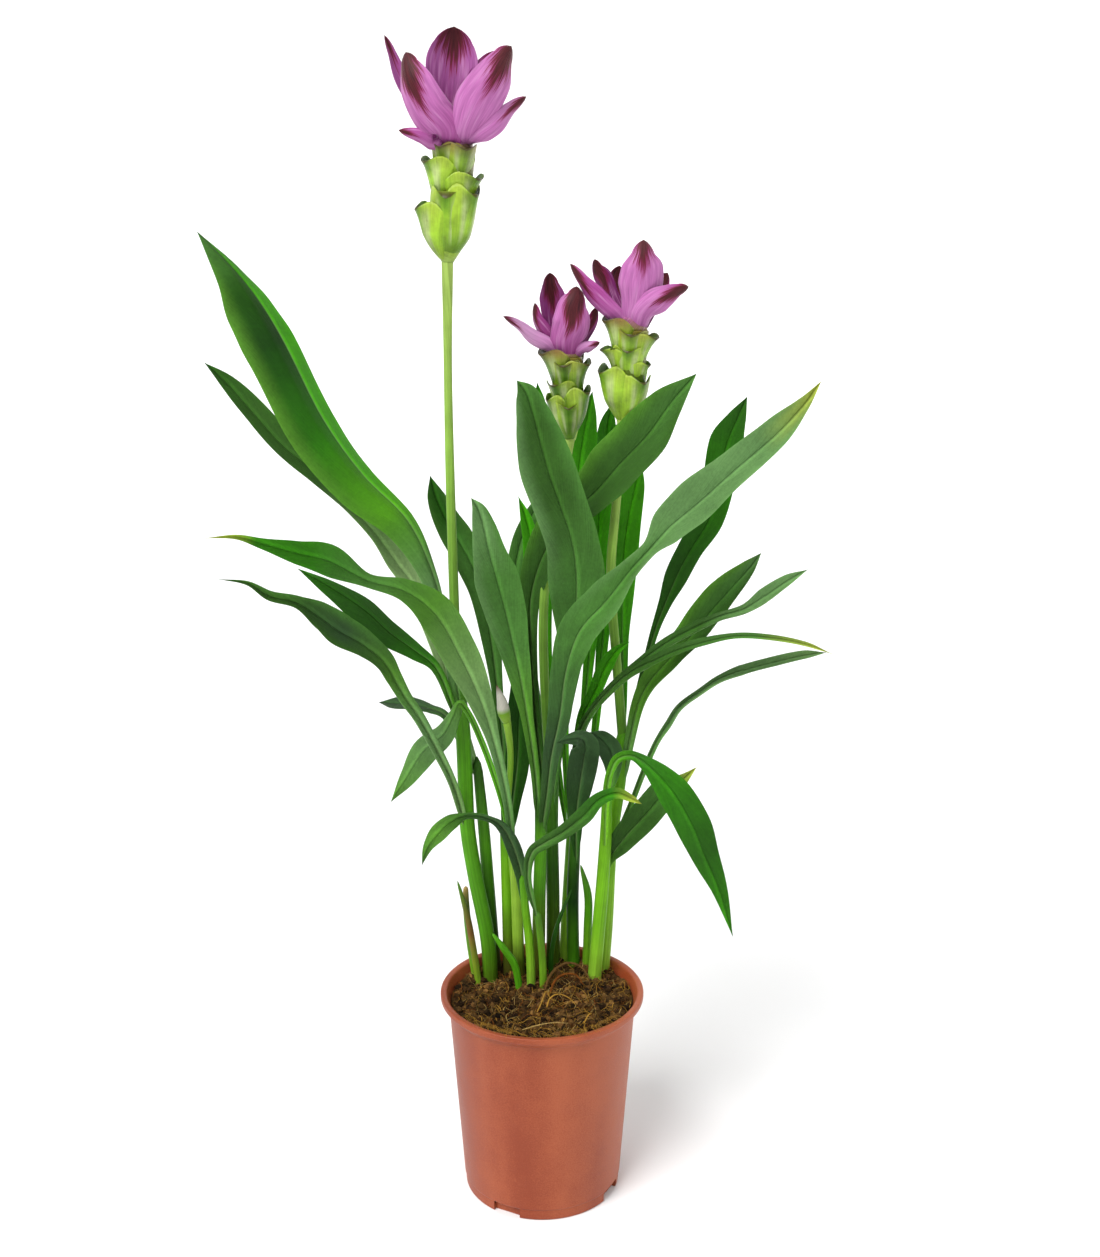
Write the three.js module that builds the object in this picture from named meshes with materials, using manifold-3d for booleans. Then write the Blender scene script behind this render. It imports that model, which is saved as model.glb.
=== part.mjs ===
// Siam tulip in a terracotta-coloured nursery pot. Millimetres, +Z up, the pot's foot at z = 0.
// The front of the plant is -Y. Angles about a flower's axis: 0 = +X, 90 = back, 270 = front.
import * as THREE from "three";
import Module from "manifold-3d";

const wasm = await Module();
wasm.setup();

// Pot
const POT_HEIGHT = 136;
const RIM_RADIUS = 65;
const RIM_TOP_WIDTH = 4;
const RIM_BAND_HEIGHT = 4;
const NECK_RADIUS = 59.6;
const NECK_HEIGHT = 127;
const FOOT_RADIUS = 50.2;
const BASE_STEP_HEIGHT = 8;
const WALL = 1.5;
const POT_SIDES = 28;
const FLOOR_LIFT = 3;
const FOOT_RING_INNER = 45;
const CENTRE_PAD_RADIUS = 26;
const DRAIN_HOLES = 6;
const DRAIN_RADIUS = 4;
const DRAIN_CIRCLE = 36;
const NOTCHES = 4;
const NOTCH_WIDTH = 18.5;
const NOTCH_HEIGHT = 7.5;
const NOTCH_ANGLE = 243;

// Potting soil
const SOIL_LEVEL = 126;
const SOIL_BANK = 3.5;
const SOIL_RINGS = [16, 32, 46];
const CLEAR = 0.3;

// Plant
const STEM_SIDES = 6;
const STEM_STEP = 26;
const BLADE_THICK = 0.9;
const PETIOLE_THICK = 3;
const BRACT_HOLLOW = 0.45;
const BRACT_LEAN = 0.9;
const COLUMN_RISE = 22;
const CUP_ROWS = [0, 0.42, 1];
const PLUG_RISE = 9;
const FRONT = new THREE.Vector3(0, -0.965, 0.262);

const COLOURS = {
  pot: 0xb05a3e,
  soil: 0x3a2a20,
  leaf: 0x4c7a3f,
  darkLeaf: 0x3a6433,
  brightLeaf: 0x5f9a33,
  sprout: 0x7fae4a,
  cup: 0x9cc04a,
  bract: 0xbf6fb8,
  bud: 0xdfe6cc,
};

const v = (p) => new THREE.Vector3(p[0], p[1], p[2]);
const lerp = THREE.MathUtils.lerp;
const rad = THREE.MathUtils.degToRad;

// A value that runs through the listed numbers as t goes from 0 to 1.
function along(list, t) {
  const x = Math.min(Math.max(t, 0), 1) * (list.length - 1);
  const i = Math.min(Math.floor(x), list.length - 2);
  return lerp(list[i], list[i + 1], x - i);
}

// Solids from triangles, joined and cut
function solid(points, faces) {
  const vertProperties = new Float32Array(points.flatMap((p) => [p.x, p.y, p.z]));
  const triVerts = new Uint32Array(faces.flat());
  return new wasm.Manifold(new wasm.Mesh({ numProp: 3, vertProperties, triVerts }));
}

const fuse = (solids) => solids.reduce((a, b) => a.add(b));

// The body alone, without the small sealed hollows that joined shells may leave in it.
const filled = (body) => body.decompose().reduce((a, b) => (b.volume() > a.volume() ? b : a));

function meshOf(name, body, colour, roughness = 0.6) {
  const { vertProperties, triVerts, numProp } = body.getMesh();
  const position = new Float32Array((vertProperties.length / numProp) * 3);
  for (let i = 0; i * numProp < vertProperties.length; i++)
    for (let k = 0; k < 3; k++) position[3 * i + k] = vertProperties[i * numProp + k];
  const geometry = new THREE.BufferGeometry();
  geometry.setAttribute("position", new THREE.BufferAttribute(position, 3));
  geometry.setIndex(new THREE.BufferAttribute(new Uint32Array(triVerts), 1));
  geometry.computeVertexNormals();
  const material = new THREE.MeshStandardMaterial({ color: colour, roughness, metalness: 0 });
  const mesh = new THREE.Mesh(geometry, material);
  mesh.name = name;
  return mesh;
}

// A closed sheet: a grid of mid-surface points, thickened to both sides by the same triangles.
function sheet(rows, thickness) {
  const n = rows.length;
  const m = rows[0].length;
  const at = (i, j) => rows[Math.min(Math.max(i, 0), n - 1)][Math.min(Math.max(j, 0), m - 1)];
  const points = [];
  for (const side of [0.5, -0.5])
    for (let i = 0; i < n; i++)
      for (let j = 0; j < m; j++) {
        const down = at(i + 1, j).clone().sub(at(i - 1, j));
        const over = at(i, j + 1).clone().sub(at(i, j - 1));
        const normal = over.cross(down).normalize();
        points.push(at(i, j).clone().addScaledVector(normal, -side * thickness(i / (n - 1))));
      }
  const faces = [];
  const id = (s, i, j) => s * n * m + i * m + j;
  const quad = (a, b, c, d) => faces.push([a, b, c], [a, c, d]);
  for (let i = 0; i + 1 < n; i++)
    for (let j = 0; j + 1 < m; j++) {
      quad(id(0, i, j), id(0, i, j + 1), id(0, i + 1, j + 1), id(0, i + 1, j));
      faces.push([id(1, i, j), id(1, i + 1, j + 1), id(1, i, j + 1)]);
      faces.push([id(1, i, j), id(1, i + 1, j), id(1, i + 1, j + 1)]);
    }
  for (let i = 0; i + 1 < n; i++) {
    quad(id(0, i, 0), id(0, i + 1, 0), id(1, i + 1, 0), id(1, i, 0));
    quad(id(0, i + 1, m - 1), id(0, i, m - 1), id(1, i, m - 1), id(1, i + 1, m - 1));
  }
  for (let j = 0; j + 1 < m; j++) {
    quad(id(0, 0, j + 1), id(0, 0, j), id(1, 0, j), id(1, 0, j + 1));
    quad(id(0, n - 1, j), id(0, n - 1, j + 1), id(1, n - 1, j + 1), id(1, n - 1, j));
  }
  const body = solid(points, faces);
  return body.volume() < 0 ? solid(points, faces.map(([a, b, c]) => [a, c, b])) : body;
}

// A closed tube through rings of points, each ring with the given number of sides.
function tube(points, sides) {
  const last = points.length - sides;
  const faces = [];
  for (let start = 0; start < last; start += sides)
    for (let k = 0; k < sides; k++) {
      const a = start + k;
      const b = start + ((k + 1) % sides);
      faces.push([a, b, b + sides], [a, b + sides, a + sides]);
    }
  for (let k = 1; k + 1 < sides; k++) faces.push([0, k + 1, k], [last, last + k, last + k + 1]);
  return solid(points, faces);
}

// A round stem through the path's points, its radius running through the listed values.
function stem(path, radii, grow = 0, sides = STEM_SIDES) {
  const curve = new THREE.CatmullRomCurve3(path.map(v), false, "centripetal");
  const n = Math.max(2, Math.round(curve.getLength() / STEM_STEP) + 1);
  const points = [];
  for (let i = 0; i < n; i++) {
    const t = i / (n - 1);
    const centre = curve.getPointAt(t);
    const way = curve.getTangentAt(t);
    if (i === 0) centre.addScaledVector(way, -grow);
    if (i === n - 1) centre.addScaledVector(way, grow);
    const across = new THREE.Vector3(1, 0, 0).addScaledVector(way, -way.x).normalize();
    const other = way.clone().cross(across);
    const r = along(radii, t) + grow;
    for (let k = 0; k < sides; k++) {
      const a = (k / sides) * 2 * Math.PI;
      const point = centre.clone().addScaledVector(across, r * Math.cos(a));
      points.push(point.addScaledVector(other, r * Math.sin(a)));
    }
  }
  return tube(points, sides);
}

// A leaf: a thick narrow petiole that widens into a folded blade with softly waved edges.
// stations: midrib places with the flat half width there, from the foot inside the stem to the tip.
// turn: degrees the upper face is rolled away from the front, foot to tip.
// fold: rise of each half towards the upper face, per unit of width; below 0 the halves droop.
function leaf({ stations, turn = [0, 0], fold = 0.3, across = 3 }) {
  const curve = new THREE.CatmullRomCurve3(stations.map(v), false, "centripetal");
  const last = stations.length - 1;
  const widest = stations.reduce((best, s, i) => (s[3] > stations[best][3] ? i : best), 0);
  const flat = 1 / Math.sqrt(1 + fold * fold);
  const rows = [];
  for (let i = 0; i <= last; i++) {
    const t = i / last;
    const centre = curve.getPoint(t);
    const way = curve.getTangent(t);
    const face = FRONT.clone().addScaledVector(way, -FRONT.dot(way)).normalize();
    face.applyAxisAngle(way, rad(along(turn, t)));
    const side = way.clone().cross(face);
    const width = Math.max(0.5, stations[i][3]);
    const waviness = THREE.MathUtils.clamp((width - 4) / 10, 0, 1);
    const row = [];
    for (let j = 0; j < across; j++) {
      const s = (2 * j) / (across - 1) - 1;
      const wave = Math.sin(1.9 * i + (s > 0 ? 0.6 : 2.1)) * s * s * waviness;
      const point = centre.clone().addScaledVector(side, s * width * flat);
      point.addScaledVector(face, Math.abs(s) ** 1.15 * width * flat * fold + wave);
      row.push(point);
    }
    rows.push(row);
  }
  const thickness = (t) => {
    const i = Math.round(t * last);
    const slim = i < widest ? Math.max(0, Math.min(1, (9 - stations[i][3]) / 6)) : 0;
    return lerp(BLADE_THICK, PETIOLE_THICK, slim);
  };
  return sheet(rows, thickness);
}

// The frame of a flower head: foot, axis direction and the two directions square to it.
function headFrame(foot, axis) {
  const up = v(axis).normalize();
  const right = new THREE.Vector3(1, 0, 0).addScaledVector(up, -up.x).normalize();
  return { foot: v(foot), up, right, back: up.clone().cross(right) };
}

function headPoint(frame, height, radius, azimuth) {
  const a = rad(azimuth);
  return frame.foot
    .clone()
    .addScaledVector(frame.up, height)
    .addScaledVector(frame.right, radius * Math.cos(a))
    .addScaledVector(frame.back, radius * Math.sin(a));
}

// A petal-like bract: hollow towards the flower's axis, with a small point.
// stations: places along its middle with the half width there, from its foot to its tip.
function bract(frame, stations) {
  const curve = new THREE.CatmullRomCurve3(stations.map(v), false, "centripetal");
  const last = stations.length - 1;
  const behind = Math.sign(stations[2][1] - frame.foot.y);
  const across = stations.some((place) => place[3] > 7) ? 5 : 3;
  const rows = [];
  for (let i = 0; i <= last; i++) {
    const centre = curve.getPoint(i / last);
    const way = curve.getTangent(i / last);
    const face = centre.clone().sub(frame.foot);
    face.addScaledVector(frame.up, -face.dot(frame.up)).normalize();
    face.y += BRACT_LEAN * behind;
    face.addScaledVector(way, -face.dot(way)).normalize();
    const side = way.clone().cross(face);
    const width = Math.max(0.5, stations[i][3]);
    const row = [];
    for (let j = 0; j < across; j++) {
      const s = (2 * j) / (across - 1) - 1;
      const point = centre.clone().addScaledVector(side, s * width);
      row.push(point.addScaledVector(face, BRACT_HOLLOW * width * (0.35 - s * s)));
    }
    rows.push(row);
  }
  return sheet(rows, (u) => lerp(1.6, 0.8, u));
}

// Radius of a flower head's green column at a height above its foot.
function columnRadius(column, height) {
  return along(column, height / COLUMN_RISE);
}

// The green column that carries a flower head's green bracts.
function columnBody(frame, column, length) {
  const rings = column.map((r, i) => [(COLUMN_RISE * i) / (column.length - 1), r]);
  const points = [];
  for (const [h, r] of [...rings, [length, column.at(-1)]])
    for (let k = 0; k < STEM_SIDES; k++) points.push(headPoint(frame, h, r, (360 / STEM_SIDES) * k));
  return tube(points, STEM_SIDES);
}

// A pouch-like green bract: its sides grown into the column, its lip flared to a blunt point.
function cup(frame, column, [azimuth, lip, reach, deep]) {
  const rows = [];
  const full = THREE.MathUtils.clamp((deep - 14) / 14, 0, 1);
  for (const u of CUP_ROWS) {
    const row = [];
    for (let j = 0; j < 5; j++) {
      const s = (2 * j) / 4 - 1;
      const hood = Math.sin(Math.PI * s) ** 2;
      const h = lip + deep * (u * (1 - 0.2 * s ** 4) + 0.2 * u ** 3 * hood - 1);
      const wide = 0.84 * columnRadius(column, h);
      const body = lerp(u ** 1.5, 1 - (1 - u) ** 1.8, full) * (1 - s * s) ** 0.55;
      const beak = u ** 5 * Math.exp(-((s / 0.34) ** 2));
      const r = wide + (reach - wide) * (0.7 * body + 0.3 * beak);
      row.push(headPoint(frame, h, r, azimuth + s * lerp(58, 78, u)));
    }
    rows.push(row);
  }
  return sheet(rows, (u) => lerp(1.6, 0.9, u));
}

// Pot: a turned wall and floor, cut by foot notches and drain holes
function turned(profile, sides) {
  const points = [];
  const start = [];
  for (const [r, z] of profile) {
    start.push(points.length);
    const copies = r === 0 ? 1 : sides;
    for (let k = 0; k < copies; k++) {
      const a = ((k + 0.5) / sides) * 2 * Math.PI;
      points.push(new THREE.Vector3(r * Math.cos(a), r * Math.sin(a), z));
    }
  }
  const faces = [];
  for (let i = 0; i + 1 < profile.length; i++)
    for (let k = 0; k < sides; k++) {
      const next = (k + 1) % sides;
      const a0 = start[i] + (profile[i][0] === 0 ? 0 : k);
      const a1 = start[i] + (profile[i][0] === 0 ? 0 : next);
      const b0 = start[i + 1] + (profile[i + 1][0] === 0 ? 0 : k);
      const b1 = start[i + 1] + (profile[i + 1][0] === 0 ? 0 : next);
      if (a0 !== a1) faces.push([a0, a1, b1]);
      if (b0 !== b1) faces.push([a0, b1, b0]);
    }
  return solid(points, faces);
}

function block(width, depth, height, place) {
  const geometry = new THREE.BoxGeometry(width, depth, height);
  geometry.applyMatrix4(place);
  const at = geometry.getAttribute("position");
  const points = [];
  const index = new Map();
  const ids = [];
  for (let i = 0; i < at.count; i++) {
    const key = [at.getX(i), at.getY(i), at.getZ(i)].map((x) => x.toFixed(4)).join();
    if (!index.has(key)) {
      index.set(key, points.length);
      points.push(new THREE.Vector3().fromBufferAttribute(at, i));
    }
    ids.push(index.get(key));
  }
  const order = geometry.index.array;
  const faces = [];
  for (let i = 0; i < order.length; i += 3) faces.push([ids[order[i]], ids[order[i + 1]], ids[order[i + 2]]]);
  return solid(points, faces);
}

// Radius of the pot's inner face at height z, from the base step up.
function innerRadius(z) {
  const low = FOOT_RADIUS + 0.8 - WALL;
  const neck = NECK_RADIUS - WALL;
  const flare = (z - NECK_HEIGHT) / (POT_HEIGHT - 0.4 - NECK_HEIGHT);
  if (flare > 0) return lerp(neck, RIM_RADIUS - RIM_TOP_WIDTH, flare);
  return lerp(low, neck, (z - BASE_STEP_HEIGHT) / (NECK_HEIGHT - BASE_STEP_HEIGHT));
}

function potBody() {
  const floorTop = FLOOR_LIFT + WALL;
  const band = POT_HEIGHT - RIM_BAND_HEIGHT;
  const profile = [
    [0, 0],
    [CENTRE_PAD_RADIUS, 0],
    [CENTRE_PAD_RADIUS + 2, FLOOR_LIFT],
    [FOOT_RING_INNER, FLOOR_LIFT],
    [FOOT_RING_INNER + 1, 0],
    [FOOT_RADIUS, 0],
    [FOOT_RADIUS, BASE_STEP_HEIGHT - 1],
    [FOOT_RADIUS + 0.8, BASE_STEP_HEIGHT],
    [NECK_RADIUS, NECK_HEIGHT],
    [RIM_RADIUS, band],
    [RIM_RADIUS, POT_HEIGHT],
    [RIM_RADIUS - RIM_TOP_WIDTH, POT_HEIGHT - 0.4],
    [innerRadius(NECK_HEIGHT), NECK_HEIGHT],
    [innerRadius(BASE_STEP_HEIGHT), BASE_STEP_HEIGHT],
    [FOOT_RADIUS - WALL, floorTop],
    [0, floorTop],
  ];
  let body = turned(profile, POT_SIDES);
  for (let k = 0; k < NOTCHES; k++) {
    const place = new THREE.Matrix4().makeRotationZ(rad(NOTCH_ANGLE + (360 / NOTCHES) * k));
    place.multiply(new THREE.Matrix4().makeTranslation(FOOT_RADIUS, 0, NOTCH_HEIGHT / 2 - 2.5));
    body = body.subtract(block(8, NOTCH_WIDTH, NOTCH_HEIGHT + 5, place));
  }
  for (let k = 0; k < DRAIN_HOLES; k++) {
    const a = rad(30 + (360 / DRAIN_HOLES) * k);
    const x = DRAIN_CIRCLE * Math.cos(a);
    const y = DRAIN_CIRCLE * Math.sin(a);
    body = body.subtract(stem([[x, y, -2], [x, y, floorTop + 2]], [DRAIN_RADIUS, DRAIN_RADIUS], 0, 8));
  }
  return body;
}

// Height of the soil: a bank at the wall, a heap round the stems, a hollow at the left front, lumps.
function soilTop(x, y) {
  const heap = 5 * Math.exp(-(((x - 22) ** 2 + (y - 22) ** 2) / 900));
  const hollow = 5 * Math.exp(-(((x + 24) ** 2 + (y + 14) ** 2) / 320));
  const lumps = 1.1 * Math.sin(0.31 * x + 0.17 * y) * Math.cos(0.23 * y - 0.11 * x);
  const bank = SOIL_BANK * THREE.MathUtils.clamp((Math.hypot(x, y) - 38) / 20, 0, 1) ** 2;
  return SOIL_LEVEL + bank + heap - hollow + lumps + 0.6 * Math.sin(0.61 * x - 0.5 * y);
}

function soilBody(holes) {
  const bottom = FLOOR_LIFT + WALL + CLEAR;
  const sides = POT_SIDES;
  const spread = (r, z) =>
    Array.from({ length: sides }, (_, k) => {
      const a = ((k + 0.5) / sides) * 2 * Math.PI;
      const x = r * Math.cos(a);
      const y = r * Math.sin(a);
      return new THREE.Vector3(x, y, z === null ? soilTop(x, y) : z);
    });
  const brim = SOIL_LEVEL + SOIL_BANK - 0.5;
  const points = [new THREE.Vector3(0, 0, soilTop(0, 0))];
  for (const r of SOIL_RINGS) points.push(...spread(r, null));
  points.push(...spread(innerRadius(brim) - 0.4, brim));
  points.push(...spread(innerRadius(NECK_HEIGHT) - 0.4, NECK_HEIGHT));
  points.push(...spread(innerRadius(BASE_STEP_HEIGHT) - 0.4, BASE_STEP_HEIGHT + 0.3));
  points.push(...spread(FOOT_RADIUS - WALL - 0.5, bottom));
  points.push(new THREE.Vector3(0, 0, bottom));
  const rings = SOIL_RINGS.length + 4;
  const faces = [];
  for (let k = 0; k < sides; k++) {
    const next = (k + 1) % sides;
    faces.push([0, 1 + k, 1 + next]);
    for (let i = 0; i + 1 < rings; i++) {
      const a = 1 + i * sides;
      const b = a + sides;
      faces.push([a + k, b + k, b + next], [a + k, b + next, a + next]);
    }
    const low = 1 + (rings - 1) * sides;
    faces.push([low + k, points.length - 1, low + next]);
  }
  return holes.reduce((body, hole) => body.subtract(hole), solid(points, faces));
}

// Shoots: each has a stem that stands in the soil and the leaves that grow from it.
// path: places along the stem, from its foot in the soil. radii: from foot to top.
const SHOOTS = [
  {
    name: "shoot_left",
    colour: "leaf",
    path: [
      [-34, 31, 118], [-36, 31, 155], [-44, 30, 203], [-48, 29, 234], [-49, 29, 265], [-50, 28, 299],
      [-54, 28, 338],
    ],
    radii: [5, 4.9, 4.9, 4.9, 4.9, 4.9, 5],
    leaves: [
      {
        stations: [
          [-50, 27, 300, 3.5], [-54, 21, 330, 3.5], [-58, 18, 362, 3.5], [-68, 15, 405, 6.5],
          [-83, 11, 437, 11.5], [-109, 8, 464, 16], [-132, 6, 497, 18.5], [-153, 7, 541, 18.5],
          [-164, 8.5, 562, 17], [-177, 10, 583, 10.5], [-197, 14, 607, 0],
        ],
        turn: [20, 33],
        fold: -0.45,
        across: 5,
      },
      {
        stations: [
          [-50, 27, 298, 2.5], [-65, 16, 346, 3.5], [-77, 11, 358, 6], [-92, 6, 371, 9],
          [-106, 2, 386, 10], [-126, -1, 401, 6], [-145, -3, 413, 0],
        ],
        turn: [-20, -30],
      },
      {
        stations: [
          [-48, 29, 230, 3], [-56, 14, 270, 3], [-65, 4, 296, 3.5], [-75, -6, 321, 4],
          [-82, -13, 335, 4.5], [-88, -20, 350, 5.5], [-93, -26, 362, 7], [-104, -35, 375, 9],
          [-116, -43, 385, 11], [-126, -49, 395, 9.5], [-138, -55, 405, 4.5], [-152, -60, 410, 3.5],
          [-163, -66, 419, 1.5], [-178, -72, 423, 0],
        ],
        turn: [20, 35, 35],
      },
    ],
  },
  {
    name: "shoot_left_back",
    colour: "leaf",
    path: [[-31, 41, 118], [-33, 40, 150], [-36, 40, 198], [-38, 38, 231], [-42, 37, 280]],
    radii: [4.2, 4.2, 4, 3.8, 3],
    leaves: [
      {
        stations: [
          [-41, 37, 262, 3.5], [-49, 38, 292, 3.5], [-56, 39, 318, 4.5], [-67, 42, 356, 7],
          [-80, 48, 388, 8.5], [-92, 53, 404, 8.5], [-105, 57, 421, 6], [-119, 61, 436, 6],
          [-140, 66, 457, 10.5], [-162, 70, 474, 10.5], [-182, 74, 496, 9.5], [-198, 77, 514, 6],
          [-211, 79, 526, 0],
        ],
        turn: [20, 40, 40],
      },
      {
        stations: [
          [-42, 37, 268, 3], [-62, 46, 304, 3.5], [-72, 54, 306, 4], [-83, 62, 306, 6.5],
          [-94, 69, 305, 7.5], [-108, 76, 304, 0],
        ],
        turn: [50, 60],
        fold: 0.2,
      },
    ],
  },
  {
    name: "shoot_front_left",
    colour: "leaf",
    path: [[-15, 34, 118], [-16, 32, 154], [-17, 28, 192], [-19, 22, 224]],
    radii: [4, 3.8, 3.6, 3],
    leaves: [
      {
        stations: [
          [-18, 23, 214, 2.5], [-22, 7, 263, 3], [-29, -3, 302, 4], [-37, -12, 334, 8],
          [-49, -22, 366, 11.5], [-62, -32, 393, 12], [-78, -40, 408, 7.5], [-98, -48, 416, 4.5],
          [-119, -58, 430, 10], [-135, -66, 436, 7.5], [-152, -74, 443, 3.5], [-165, -79, 448, 1.5],
          [-181, -86, 449, 0],
        ],
        turn: [10, 25, 25],
        fold: 0.2,
        across: 5,
      },
      {
        stations: [
          [-18, 25, 204, 2], [-23, 14, 250, 2], [-32, 11, 284, 2], [-38, 9, 302, 2], [-45, 7, 319, 2],
          [-50, 8, 325, 2.5], [-54, 10, 317, 4], [-61, 14, 303, 7], [-74, 17, 291, 9], [-85, 19, 273, 6],
          [-96, 22, 255, 0],
        ],
        turn: [10, 20],
        fold: -0.2,
      },
    ],
  },
  {
    name: "shoot_front_centre",
    colour: "leaf",
    path: [[-7, 20, 118], [-8, 17, 154], [-11, 15, 187], [-13, 14, 208]],
    radii: [2.9, 2.8, 2.6, 2],
    leaves: [
      {
        stations: [
          [-10, 16, 178, 2.5], [-13, 15, 206, 4], [-18, 9, 229, 5], [-25, 2, 246, 3.5], [-33, -4, 254, 2],
          [-46, -12, 259, 2], [-55, -17, 257, 5], [-62, -21, 252, 6], [-69, -25, 244, 3.5],
          [-73, -27, 233, 0],
        ],
        turn: [10, 30],
        fold: 0.2,
      },
    ],
  },
  {
    name: "shoot_back_left",
    colour: "darkLeaf",
    path: [[-22, 37, 118], [-23, 38, 180], [-24, 41, 232]],
    radii: [4, 3.8, 3.8],
    leaves: [
      {
        stations: [
          [-24, 41, 212, 2.5], [-25, 46, 254, 2.5], [-26, 51, 287, 3], [-29, 55, 319, 4],
          [-33, 61, 351, 6.5], [-39, 68, 381, 8.5], [-46, 73, 399, 10.5], [-54, 77, 413, 10.5],
          [-62, 81, 426, 9], [-68, 84, 439, 6.5], [-72, 88, 453, 0],
        ],
        turn: [5, 15],
      },
      {
        stations: [
          [-23, 40, 214, 2], [-19, 43, 248, 5.5], [-16, 44, 274, 8], [-15, 45, 300, 8], [-14, 46, 326, 6],
          [-13, 47, 351, 4], [-12, 48, 374, 0],
        ],
        fold: 0.2,
      },
    ],
  },
  {
    name: "shoot_centre",
    colour: "leaf",
    path: [[-3, 33, 118], [-2, 30, 184], [-1, 26, 234], [-2, 22, 263]],
    radii: [4.4, 4.2, 3.8, 2.8],
    leaves: [
      {
        stations: [
          [-2, 24, 235, 2.5], [-4, 19, 274, 3], [-9, 13, 314, 4], [-13, 8, 341, 7], [-17, 5, 362, 9.5],
          [-22, 2, 386, 13], [-27, 0, 406, 14], [-31, -2, 422, 10.5], [-34, -4, 438, 7.5],
          [-37, -5, 449, 4.5], [-41, -6, 456, 0],
        ],
        turn: [0, 8],
        fold: 0.25,
        across: 5,
      },
      {
        stations: [
          [-1, 26, 228, 3], [3, 18, 261, 4], [6, 13, 289, 5.5], [11, 8, 316, 7.5], [15, 2, 349, 9.5],
          [23, -4, 375, 13], [38, -9, 394, 12.5], [53, -14, 415, 7], [63, -17, 427, 5.5],
          [74, -20, 441, 12], [90, -24, 456, 15], [110, -29, 476, 12.5], [133, -34, 498, 10],
          [147, -38, 515, 4.5], [155, -41, 528, 0],
        ],
        turn: [0, -30, -30],
        across: 5,
      },
    ],
  },
  {
    name: "shoot_centre_back",
    colour: "leaf",
    path: [[7, 45, 118], [7, 44, 177], [6, 42, 228], [6, 41, 266]],
    radii: [4.6, 4.4, 4.4, 4.8],
    leaves: [
      {
        stations: [
          [6, 40, 235, 2.5], [9, 35, 278, 3.5], [15, 29, 320, 5], [19, 24, 358, 9], [21, 20, 383, 15],
          [21, 16, 405, 18], [18, 12, 427, 16.5], [11, 8, 449, 16.5], [4, 4, 470, 17], [-1, 2, 489, 14.5],
          [-5, 0, 505, 10.5], [-9, -1, 517, 6.5], [-14, -2, 524, 0],
        ],
        fold: 0.25,
        across: 5,
      },
      {
        stations: [
          [4, 43, 232, 3], [-1, 50, 274, 3], [-5, 55, 313, 3.5], [-7, 54, 353, 4.5], [-7, 50, 381, 7.5],
          [-1, 44, 406, 11.5], [13, 39, 433, 14], [33, 36, 452, 16], [46, 33, 468, 19],
          [64, 30, 488, 17.5], [77, 27, 507, 11.5], [92, 25, 525, 0],
        ],
        turn: [0, -25, -25],
        across: 5,
      },
      {
        stations: [
          [6, 43, 223, 2], [2, 54, 272, 2.5], [-5, 62, 324, 2.5], [-10, 66, 363, 2.5],
          [-10, 69, 389, 2.5], [-7, 71, 411, 5.5], [-10, 73, 427, 4], [-15, 75, 442, 0],
        ],
      },
      {
        stations: [
          [7, 44, 226, 2], [1, 58, 271, 2.5], [-7, 68, 316, 2.5], [-14, 74, 355, 3.5],
          [-18, 78, 384, 5.5], [-14, 81, 410, 6], [-6, 83, 429, 5], [3, 85, 445, 0],
        ],
        fold: 0.2,
      },
    ],
  },
  {
    name: "shoot_right",
    colour: "brightLeaf",
    path: [[21, 45, 118], [20, 43, 178], [21, 40, 214], [22, 38, 240]],
    radii: [4.2, 4, 3.8, 3],
    leaves: [
      {
        stations: [
          [22, 39, 215, 3], [20, 29, 264, 3], [23, 22, 298, 2.5], [29, 17, 314, 2.5], [40, 12, 330, 3],
          [53, 7, 344, 3.5], [67, 1, 354, 4], [80, -4, 362, 4], [96, -10, 369, 3.5], [115, -17, 375, 2.5],
          [134, -24, 376, 2.5], [154, -31, 374, 2], [169, -37, 370, 0],
        ],
        turn: [0, -45, -45],
        fold: 0.25,
      },
      {
        stations: [
          [22, 40, 221, 2.5], [20, 34, 262, 2.5], [25, 28, 299, 2.5], [31, 24, 314, 2.5],
          [44, 19, 333, 2.5], [60, 14, 349, 3], [77, 8, 364, 4], [93, 2, 375, 4], [107, -3, 383, 3],
          [121, -8, 389, 3.5], [133, -13, 399, 5.5], [143, -18, 408, 4.5], [155, -23, 417, 0],
        ],
        turn: [0, -40, -40],
        fold: 0.25,
      },
      {
        stations: [
          [22, 42, 220, 2], [21, 42, 255, 2.5], [22, 41, 283, 2.5], [26, 39, 307, 3.5],
          [34, 37, 325, 4.5], [40, 35, 341, 5], [47, 33, 352, 3], [55, 32, 358, 0],
        ],
        turn: [0, -10],
        fold: 0.2,
      },
      {
        stations: [
          [22, 38, 205, 2.5], [22, 31, 243, 5], [24, 24, 266, 8.5], [26, 17, 284, 9.5], [27, 8, 298, 8.5],
          [23, -2, 306, 5.5], [16, -7, 307, 3], [9, -11, 306, 0],
        ],
        fold: 0.1,
      },
    ],
  },
  {
    name: "shoot_right_front",
    colour: "brightLeaf",
    path: [[33, 22, 118], [36, 22, 159], [39, 22, 201], [41, 24, 242], [41, 25, 256]],
    radii: [4.4, 4.4, 4.2, 3.6, 3],
    leaves: [
      {
        stations: [
          [40, 21, 221, 2.5], [40, 12, 254, 2.5], [42, 4, 280, 2.5], [47, -2, 293, 3], [55, -8, 297, 3],
          [63, -13, 294, 4.5], [71, -18, 288, 7.5], [81, -23, 277, 10.5], [91, -30, 261, 11],
          [99, -36, 242, 8.5], [107, -42, 224, 5], [115, -50, 197, 0],
        ],
        turn: [0, 10],
        fold: -0.15,
      },
      {
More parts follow.
